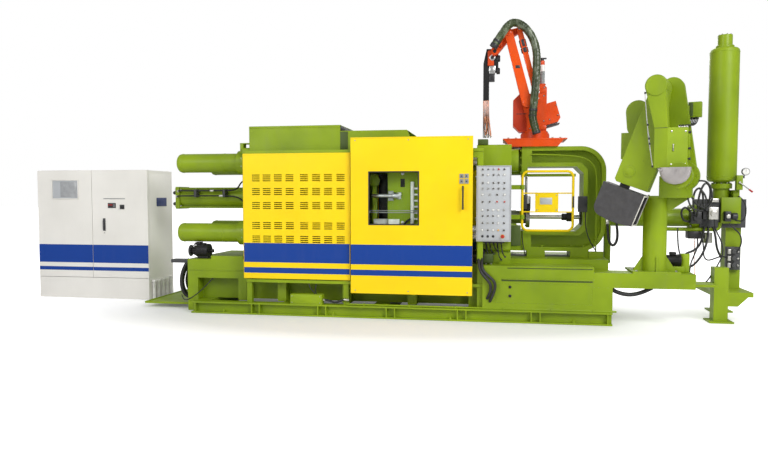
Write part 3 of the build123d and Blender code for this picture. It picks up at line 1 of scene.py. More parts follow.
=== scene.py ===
"""Looks of the die casting machine: finishes, small parts, pipes, lamps and the camera.

Everything is in the frame of the CAD model: X along the machine, Y away from the operator, Z up,
origin on the floor under the die face of the fixed platen. The table of small parts is in
millimetres, and all other lengths are in metres.
"""
import math
import random

import bmesh
import bpy
from mathutils import Matrix, Vector

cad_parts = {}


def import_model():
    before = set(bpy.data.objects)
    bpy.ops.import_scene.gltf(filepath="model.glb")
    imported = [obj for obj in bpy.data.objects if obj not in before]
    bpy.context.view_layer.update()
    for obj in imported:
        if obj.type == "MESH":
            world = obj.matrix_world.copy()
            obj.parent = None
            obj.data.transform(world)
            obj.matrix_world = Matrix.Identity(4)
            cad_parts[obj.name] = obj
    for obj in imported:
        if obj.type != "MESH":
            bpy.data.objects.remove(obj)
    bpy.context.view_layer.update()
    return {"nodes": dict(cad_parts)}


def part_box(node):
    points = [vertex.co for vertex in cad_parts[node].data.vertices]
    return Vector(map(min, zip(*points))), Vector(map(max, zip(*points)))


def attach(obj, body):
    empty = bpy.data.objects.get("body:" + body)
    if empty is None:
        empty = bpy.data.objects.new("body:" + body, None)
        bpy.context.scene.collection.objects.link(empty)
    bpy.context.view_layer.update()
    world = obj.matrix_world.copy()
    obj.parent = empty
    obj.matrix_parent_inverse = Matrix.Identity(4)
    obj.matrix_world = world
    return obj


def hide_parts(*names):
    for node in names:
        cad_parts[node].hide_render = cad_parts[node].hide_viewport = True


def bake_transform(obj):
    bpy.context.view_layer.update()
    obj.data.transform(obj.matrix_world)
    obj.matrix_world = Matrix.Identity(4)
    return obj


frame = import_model()
scene = bpy.context.scene
nodes = frame["nodes"]
random.seed(7)


# Node helpers
def start_material(name):
    """A new material, its node tree and its shader."""
    material = bpy.data.materials.new(name)
    material.use_nodes = True
    tree = material.node_tree
    return material, tree, tree.nodes["Principled BSDF"]


def feed(socket, value):
    """Links an output to an input, or sets the input to a constant."""
    if isinstance(value, bpy.types.NodeSocket):
        socket.id_data.links.new(value, socket)
    else:
        socket.default_value = value


def set_inputs(node, **values):
    """Feeds inputs of a node; a low line in a name stands for a space."""
    for key, value in values.items():
        feed(node.inputs[key.replace("_", " ")], value)


def add_node(tree, kind, **values):
    """Adds a shader node, sets its plain properties and feeds its inputs."""
    node = tree.nodes.new(kind)
    for key, value in values.items():
        if hasattr(node, key):
            setattr(node, key, value)
        else:
            set_inputs(node, **{key: value})
    return node


def object_position(tree):
    """The place on the piece, in metres, which moves with the piece."""
    return add_node(tree, "ShaderNodeTexCoord").outputs["Object"]


def noise(tree, scale, detail=4.0, stretch=(1, 1, 1)):
    """Noise over the piece's own place, with a chosen stretch."""
    mapping = add_node(tree, "ShaderNodeMapping", Vector=object_position(tree), Scale=stretch)
    texture = add_node(tree, "ShaderNodeTexNoise", Vector=mapping.outputs["Vector"], Scale=scale,
                       Detail=detail)
    return texture.outputs["Fac"]


def ramp(tree, value, low, high, from_low=0.0, from_high=1.0):
    """Maps a value from one range to another, held at its ends."""
    return add_node(tree, "ShaderNodeMapRange", Value=value, From_Min=from_low, From_Max=from_high,
                    To_Min=low, To_Max=high).outputs["Result"]


def mix(tree, factor, first, second):
    """Mixes two colours, each a socket or a plain colour."""
    node = add_node(tree, "ShaderNodeMix", data_type="RGBA")
    for index, value in ((0, factor), (6, first), (7, second)):
        feed(node.inputs[index], (*value, 1.0) if isinstance(value, tuple) else value)
    return node.outputs[2]


def two_inputs(tree, kind, operation, first, second):
    """One step of arithmetic on sockets or constants."""
    node = add_node(tree, kind, operation=operation)
    feed(node.inputs[0], first)
    feed(node.inputs[1], second)
    return node.outputs["Value"]


def math_node(tree, operation, first, second):
    """One step of arithmetic on numbers."""
    return two_inputs(tree, "ShaderNodeMath", operation, first, second)


def dot_product(tree, first, second):
    """The dot product of two directions."""
    return two_inputs(tree, "ShaderNodeVectorMath", "DOT_PRODUCT", first, second)


def add_bump(tree, shader, height, strength, distance, edge):
    """Bump from a height, with each sharp edge rounded; gives a mask that is 1 along those edges."""
    normal = add_node(tree, "ShaderNodeBevel", samples=4, Radius=edge).outputs["Normal"]
    flat = add_node(tree, "ShaderNodeNewGeometry").outputs["Normal"]
    bump = add_node(tree, "ShaderNodeBump", Strength=strength, Distance=distance, Height=height,
                    Normal=normal)
    set_inputs(shader, Normal=bump.outputs["Normal"])
    return ramp(tree, dot_product(tree, normal, flat), 1.0, 0.0, 0.80, 0.985)


def colour_and_roughness(tree, shader, colour, scale, low, high):
    """Links a colour, and a roughness that varies between two values over the piece."""
    set_inputs(shader, Base_Color=colour,
               Roughness=ramp(tree, noise(tree, scale, 5.0), low, high, 0.3, 0.7))


def band(tree, z_low, z_high):
    """A mask that is 1 between two heights on the piece."""
    height = add_node(tree, "ShaderNodeSeparateXYZ", Vector=object_position(tree)).outputs["Z"]
    above = math_node(tree, "GREATER_THAN", height, z_low)
    return math_node(tree, "MULTIPLY", above, math_node(tree, "LESS_THAN", height, z_high))


def facing(tree, axis):
    """A mask that is 1 on faces that look along an axis."""
    normal = add_node(tree, "ShaderNodeNewGeometry").outputs["True Normal"]
    turned = add_node(tree, "ShaderNodeVectorTransform", vector_type="NORMAL", convert_from="WORLD",
                      convert_to="OBJECT", Vector=normal).outputs["Vector"]
    return math_node(tree, "GREATER_THAN", dot_product(tree, turned, axis), 0.7)


# Paint colours, as linear values
GREEN = (0.285, 0.405, 0.006)
GREEN_SHADE = (0.195, 0.290, 0.005)
YELLOW = (1.0, 0.71, 0.0)
YELLOW_SHADE = (0.94, 0.65, 0.0)
BLUE = (0.001, 0.046, 0.30)
WHITE = (0.86, 0.84, 0.79)
WHITE_SHADE = (0.80, 0.78, 0.73)
ORANGE = (0.78, 0.080, 0.002)
ORANGE_SHADE = (0.64, 0.056, 0.002)
BARE_METAL = (0.42, 0.42, 0.40)
DUST = (0.20, 0.18, 0.14)
# Lowest and highest edge of each stripe, in metres above the floor
MACHINE_STRIPES = ((0.710, 0.970), (0.565, 0.640))
CABINET_STRIPES = ((0.558, 0.841), (0.435, 0.492))
OPERATOR_SIDE = (0.0, -1.0, 0.0)


def paint(name, colour, shade, roughness=0.40, wear=0.5, stripes=(), dirt=0.10):
    """Enamel over steel: slow colour change, a fine orange peel, and metal along worn edges."""
    material, tree, shader = start_material(name)
    patches = ramp(tree, noise(tree, 1.3, 3.0), 0.0, 1.0, 0.35, 0.70)
    colour_now = mix(tree, patches, colour, shade)
    if stripes:
        mask = math_node(tree, "MAXIMUM", *(band(tree, low, high) for low, high in stripes))
        mask = math_node(tree, "MULTIPLY", mask, facing(tree, OPERATOR_SIDE))
        colour_now = mix(tree, mask, colour_now, BLUE)
    dust = ramp(tree, noise(tree, 9.0, 6.0, (1, 1, 0.25)), 0.0, dirt, 0.52, 0.78)
    colour_now = mix(tree, dust, colour_now, DUST)
    edges = add_bump(tree, shader, noise(tree, 260.0, 2.0), 0.25, 0.0006, edge=0.004)
    chips = ramp(tree, noise(tree, 60.0, 5.0), 0.0, 1.0, 0.50, 0.62)
    worn = math_node(tree, "MULTIPLY", math_node(tree, "MULTIPLY", edges, chips), wear)
    colour_now = mix(tree, worn, colour_now, BARE_METAL)
    colour_and_roughness(tree, shader, colour_now, 5.0, roughness - 0.07, roughness + 0.13)
    set_inputs(shader, Specular_IOR_Level=0.30, Coat_Weight=0.05, Coat_Roughness=0.30)
    return material


def metal(name, colour, roughness, stretch=(1, 1, 1), grain=90.0, bump=0.10):
    """Bare metal with a brushed or turned grain along a chosen direction and slight stains."""
    material, tree, shader = start_material(name)
    stain = ramp(tree, noise(tree, 7.0, 6.0), 0.0, 0.55, 0.45, 0.80)
    lines = noise(tree, grain, 6.0, stretch)
    set_inputs(shader, Metallic=1.0, Base_Color=mix(tree, stain, colour, darker(colour, 0.55)),
               Roughness=ramp(tree, lines, roughness - 0.08, roughness + 0.14, 0.3, 0.7))
    add_bump(tree, shader, lines, bump, 0.0004, edge=0.002)
    return material


def darker(colour, share):
    """A colour at a share of its light."""
    return tuple(share * c for c in colour)


def plastic(name, colour, roughness=0.45, grain=500.0, bump=0.12, edge=0.0015):
    """Moulded plastic or rubber with a fine grain."""
    material, tree, shader = start_material(name)
    patches = ramp(tree, noise(tree, 14.0, 4.0), 0.0, 1.0, 0.35, 0.75)
    lighter = tuple(min(1.0, 1.25 * c + 0.006) for c in colour)
    colour_now = mix(tree, patches, colour, lighter)
    colour_and_roughness(tree, shader, colour_now, 30.0, roughness - 0.08, roughness + 0.10)
    add_bump(tree, shader, noise(tree, grain, 2.0), bump, 0.0003, edge)
    return material


def glass(name, colour, roughness=0.04):
    """Clear window sheet with faint smears."""
    material, tree, shader = start_material(name)
    smear = ramp(tree, noise(tree, 11.0, 6.0, (1, 1, 0.3)), roughness, roughness + 0.10, 0.45, 0.75)
    set_inputs(shader, Base_Color=(*colour, 1.0), Transmission_Weight=1.0, IOR=1.05, Roughness=smear)
    return material


def cap_plastic_with_painted_glow(name, colour, painted_glow):
    """Clear coloured cap of a button or lamp, with a faint painted glow in its own colour."""
    material, tree, shader = start_material(name)
    patches = ramp(tree, noise(tree, 120.0, 3.0), 0.0, 0.35, 0.3, 0.7)
    set_inputs(shader, Base_Color=mix(tree, patches, colour, darker(colour, 0.7)), Roughness=0.18,
               Coat_Weight=0.6, Emission_Color=(*colour, 1.0), Emission_Strength=painted_glow)
    return material


def wrapped_sleeve(name, colour, sheen):
    """Creased shiny sleeve round hoses, with pale streaks painted along its folds as highlights."""
    material, tree, shader = start_material(name)
    folds = noise(tree, 11.0, 7.0, (1.0, 1.0, 0.40))
    painted_sheen_streaks = ramp(tree, folds, 0.0, 0.75, 0.53, 0.68)
    patches = ramp(tree, noise(tree, 4.0, 3.0), 0.0, 1.0, 0.40, 0.60)
    cloth_and_painted_sheen = mix(tree, painted_sheen_streaks, mix(tree, patches, colour, darker(colour, 0.55)), sheen)
    colour_and_roughness(tree, shader, cloth_and_painted_sheen, 30.0, 0.20, 0.42)
    add_bump(tree, shader, folds, 0.9, 0.012, edge=0.002)
    return material


FINISH = {
    "green": paint("green_enamel", GREEN, GREEN_SHADE),
    "yellow": paint("yellow_enamel", YELLOW, YELLOW_SHADE, wear=0.25, dirt=0.03),
    "yellow_striped": paint("yellow_with_blue_stripes", YELLOW, YELLOW_SHADE, wear=0.2,
                            stripes=MACHINE_STRIPES, dirt=0.03),
    "white": paint("off_white_powder_coat", WHITE, WHITE_SHADE, 0.42, wear=0.12, dirt=0.025),
    "white_striped": paint("off_white_with_blue_stripes", WHITE, WHITE_SHADE, 0.42, wear=0.1,
                           stripes=CABINET_STRIPES, dirt=0.025),
    "orange": paint("orange_red_enamel", ORANGE, ORANGE_SHADE, 0.3, wear=0.4),
    # A darker copy of the orange: painted shade for the robot swivel's left side, turned away from the light
    "dark_red": paint("orange_cover_painted_shade", (0.52, 0.036, 0.004), (0.40, 0.026, 0.003), 0.5, wear=0.2),
    # A darker copy of the green enamel: painted shade on parts that sit in shadow, such as the pin groove,
    # the valve box side, the strips under ledges, the hood joint and the boxes under the panel, beside the
    # platen and above the door
    "dark_green": paint("green_enamel_painted_shade", (0.075, 0.115, 0.020), (0.05, 0.08, 0.015), 0.45),
    "panel_silver": paint("silver_grey_panel", (0.46, 0.47, 0.48), (0.38, 0.39, 0.40), 0.36, wear=0.3),
    "black_paint": paint("black_satin_paint", (0.009, 0.009, 0.010), (0.016, 0.016, 0.015), 0.42),
    "dark_grey": paint("dark_grey_paint", (0.075, 0.077, 0.080), (0.055, 0.056, 0.058), 0.45),
    "light_panel": paint("light_panel_sheet", (0.52, 0.54, 0.56), (0.44, 0.46, 0.48), 0.30, wear=0.1),
    "bright_steel": metal("ground_steel", (0.66, 0.66, 0.65), 0.24, (0.02, 1, 1)),
    "dull_steel": metal("dull_steel", (0.42, 0.42, 0.41), 0.42),
    "zinc": metal("zinc_plated_steel", (0.62, 0.61, 0.56), 0.34, grain=30.0),
    "copper": metal("copper_tube", (0.72, 0.30, 0.16), 0.30),
    "cast_bowl": metal("scaled_cast_metal", (0.50, 0.47, 0.46), 0.44, grain=12.0, bump=0.6),
    "iron": plastic("coated_ladle_iron", (0.050, 0.048, 0.050), 0.62, 140.0, 0.8, edge=0.006),
    "refractory": plastic("pale_refractory", (0.62, 0.60, 0.55), 0.8, 90.0, 0.8),
    "rubber": plastic("black_hose_rubber", (0.018, 0.018, 0.019), 0.5),
    "black_plastic": plastic("black_moulded_plastic", (0.022, 0.022, 0.024), 0.4),
    "white_plastic": plastic("white_moulded_plastic", (0.78, 0.77, 0.74), 0.4),
    "grey_plastic": plastic("grey_moulded_plastic", (0.24, 0.25, 0.25), 0.4),
    "blue_plastic": plastic("dark_blue_plastic", (0.01, 0.03, 0.14), 0.35),
    "wire_grey": plastic("pale_twisted_wire", (0.42, 0.42, 0.40), 0.5),
    "pale_glass": plastic("pale_window_glass", (0.34, 0.35, 0.36), 0.12, bump=0.0),
    # Its third colour is the painted sheen along the folds
    "olive_sleeve": wrapped_sleeve("olive_hose_sleeve", (0.046, 0.066, 0.020), (0.26, 0.30, 0.21)),
    "window_glass": glass("window_sheet", (0.90, 0.94, 0.93)),
    # Each cap glows faintly: painted glow, also on plain buttons, the emergency stop, its collar and the
    # lever grip
    "red_cap": cap_plastic_with_painted_glow("red_button_cap", (0.45, 0.010, 0.010), 0.03),
    "green_cap": cap_plastic_with_painted_glow("green_button_cap", (0.02, 0.28, 0.05), 0.03),
    "amber_cap": cap_plastic_with_painted_glow("amber_button_cap", (0.70, 0.33, 0.01), 0.03),
    "white_cap": cap_plastic_with_painted_glow("white_button_cap", (0.75, 0.75, 0.72), 0.05),
    "blue_cap": cap_plastic_with_painted_glow("blue_button_cap", (0.02, 0.10, 0.60), 0.10),
}

# Finishes of the carried-over pieces; any other node is green
NODES_OF_FINISH = {
    "yellow_striped": ("safety_door", "louvre_panel", "back_guard"), "yellow": ("shot_guard",),
    "white": ("cabinet_body",), "white_striped": ("cabinet_door_left", "cabinet_door_right"),
    "orange": ("robot_base", "robot_swivel", "robot_lower_arm", "robot_upper_arm", "robot_link"),
    "bright_steel": ("tie_bars", "shot_plunger"), "dull_steel": ("shot_sleeve",),
    "black_plastic": ("door_handle",), "window_glass": ("door_window",), "panel_silver": ("control_panel",),
    "black_paint": ("spray_head", "die_height_motor"), "iron": ("ladle_cup",),
    "dark_grey": ("valve_block", "slideways"), "olive_sleeve": ("robot_hose_lower", "robot_hose_upper"),
}
node_finish = {node: finish for finish, names in NODES_OF_FINISH.items() for node in names}
for node_name, node in nodes.items():
    node.data.materials.clear()
    node.data.materials.append(FINISH[node_finish.get(node_name, "green")])


# Mesh helpers
def turned_to(axis):
    """A matrix that turns Z to an axis."""
    return axis.to_track_quat("Z", "Y").to_matrix().to_4x4()


def round_edges(part, edges, radius):
    """Rounds edges of a small mesh, unless the radius is 0."""
    if radius > 0:
        bmesh.ops.bevel(part, geom=edges, offset=radius, segments=2, affect="EDGES", profile=0.5)


def cylinder(radius, length, sides):
    """A small mesh of a closed bar round Z."""
    part = bmesh.new()
    bmesh.ops.create_cone(part, cap_ends=True, segments=sides, radius1=radius, radius2=radius,
                          depth=length)
    return part


def add_piece(name, data, finish, body=None):
    """Puts a mesh or curve into the scene as one piece, riding on a body if it is given one."""
    data.materials.append(FINISH[finish])
    piece = bpy.data.objects.new(name, data)
    scene.collection.objects.link(piece)
    if body:
        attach(piece, body)
    return piece


class Shape:
    """Collects solids of one finish, which then become one piece on one body."""

    def __init__(self, name, finish, body="machine"):
        self.name, self.finish, self.body = name, finish, body
        self.bm = bmesh.new()

    def _take(self, part, matrix=None):
        """Adds a finished small mesh."""
        if matrix is not None:
            bmesh.ops.transform(part, matrix=matrix, verts=part.verts)
        mesh = bpy.data.meshes.new("part")
        part.to_mesh(mesh)
        part.free()
        self.bm.from_mesh(mesh)
        bpy.data.meshes.remove(mesh)

    def block(self, low, high, round_off=0.004, turn=0.0):
        """A block between two corners, with rounded edges, turned about Y by an angle in degrees."""
        low, high = Vector(low), Vector(high)
        part = bmesh.new()
        bmesh.ops.create_cube(part, size=1.0)
        bmesh.ops.scale(part, vec=high - low, verts=part.verts)
        round_edges(part, part.edges, min(round_off, 0.45 * min(high - low)))
        turned = Matrix.Rotation(math.radians(turn), 4, "Y")
        self._take(part, Matrix.Translation((low + high) / 2) @ turned)

    def rod(self, start, end, radius, sides=24, round_off=0.003):
        """A round or many-sided bar between two points, with rounded ends."""
        start, end = Vector(start), Vector(end)
        length = (end - start).length
        part = cylinder(radius, length, sides)
        rims = [e for e in part.edges if any(len(f.verts) > 4 for f in e.link_faces)]
        round_edges(part, rims, min(round_off, 0.3 * radius, 0.3 * length))
        self._take(part, Matrix.Translation((start + end) / 2) @ turned_to(end - start))

    def bolt(self, place, axis, radius, height, washer=1):
        """A hexagon head with a washer, standing on a face."""
        thickness = 0.003
        if washer:
            self.rod(place, place + axis * thickness, 1.25 * radius, 16, 0.0008)
            place = place + axis * thickness
        self.rod(place, place + axis * height, radius, 6, 0.002)

    def socket_bolt(self, place, axis, radius, height):
        """A cap screw: a round head with a hexagon socket."""
        part = cylinder(radius, height, 18)
        top = max(part.faces, key=lambda f: f.calc_center_median().z)
        bmesh.ops.inset_region(part, faces=[top], thickness=0.42 * radius)
        bmesh.ops.translate(part, vec=(0, 0, -0.6 * height), verts=top.verts)
        self._take(part, Matrix.Translation(place + axis * height / 2) @ turned_to(axis))

    def lathe(self, start, axis, profile, sides=32):
        """A turned solid: profile gives pairs of distance along the axis and radius."""
        part = bmesh.new()
        turns = [2 * math.pi * i / sides for i in range(sides)]
        rings = [[part.verts.new((radius * math.cos(a), radius * math.sin(a), along)) for a in turns]
                 for along, radius in profile]
        for lower, upper in zip(rings, rings[1:]):
            for i in range(sides):
                j = (i + 1) % sides
                part.faces.new((lower[i], lower[j], upper[j], upper[i]))
        part.faces.new(list(reversed(rings[0])))
        part.faces.new(rings[-1])
        self._take(part, Matrix.Translation(start) @ turned_to(axis))

    def plate(self, points, thickness, origin, across=(1, 0, 0), up=(0, 0, 1), round_off=0.003):
        """A flat plate with a straight-sided outline, given in the directions across and up."""
        across, up = Vector(across), Vector(up)
        part = bmesh.new()
        face = part.faces.new([part.verts.new(origin + across * a + up * b) for a, b in points])
        moved = bmesh.ops.extrude_face_region(part, geom=[face])["geom"]
        bmesh.ops.translate(part, vec=across.cross(up) * thickness,
                            verts=[g for g in moved if isinstance(g, bmesh.types.BMVert)])
        bmesh.ops.recalc_face_normals(part, faces=part.faces)
        round_edges(part, part.edges, min(round_off, 0.3 * thickness))
        self._take(part)

    def make(self):
        """Turns what was collected into one piece."""
        mesh = bpy.data.meshes.new(self.name)
        bmesh.ops.recalc_face_normals(self.bm, faces=self.bm.faces)
        self.bm.to_mesh(mesh)
        self.bm.free()
        mesh.shade_smooth()
        mesh.set_sharp_from_angle(angle=math.radians(35))
        return add_piece(self.name, mesh, self.finish, self.body)


def pipes(name, routes, radius, finish, body="machine", resolution=6):
    """Bent tubes of one size, each along its own route, as one curve piece."""
    curve = bpy.data.curves.new(name, "CURVE")
    curve.dimensions = "3D"
    curve.bevel_depth = radius
    curve.bevel_resolution = 4
    curve.resolution_u = resolution
    curve.use_fill_caps = True
    for route in routes:
        spline = curve.splines.new("NURBS")
        spline.points.add(len(route) - 1)
        for point, place in zip(spline.points, route):
            point.co = (*place, 1.0)
        spline.order_u = 3
        spline.use_endpoint_u = True
    return add_piece(name, curve, finish, body)


# The ladle unit's own turned frame: along its arm, behind its face, and up
LADLE_TURN = math.atan2(0.61, 1.63)
LADLE_AXIS = Vector((2.19, -0.81, 0))
LADLE_ALONG = Vector((math.cos(LADLE_TURN), -math.sin(LADLE_TURN), 0))
LADLE_BACK = Vector((math.sin(LADLE_TURN), math.cos(LADLE_TURN), 0))
LADLE_FACE = -0.497
UP = Vector((0, 0, 1))


def ladle_direction(s, t, z):
    """A direction along, behind and above in the ladle's frame."""
    return s * LADLE_ALONG + t * LADLE_BACK + z * UP


def in_ladle(s, t, z):
    """A place counted along, behind and above the ladle column's axis."""
    return LADLE_AXIS + ladle_direction(s, t, z)


def world(x, y, z):
    """A place or direction in the frame of the machine."""
    return Vector((x, y, z))
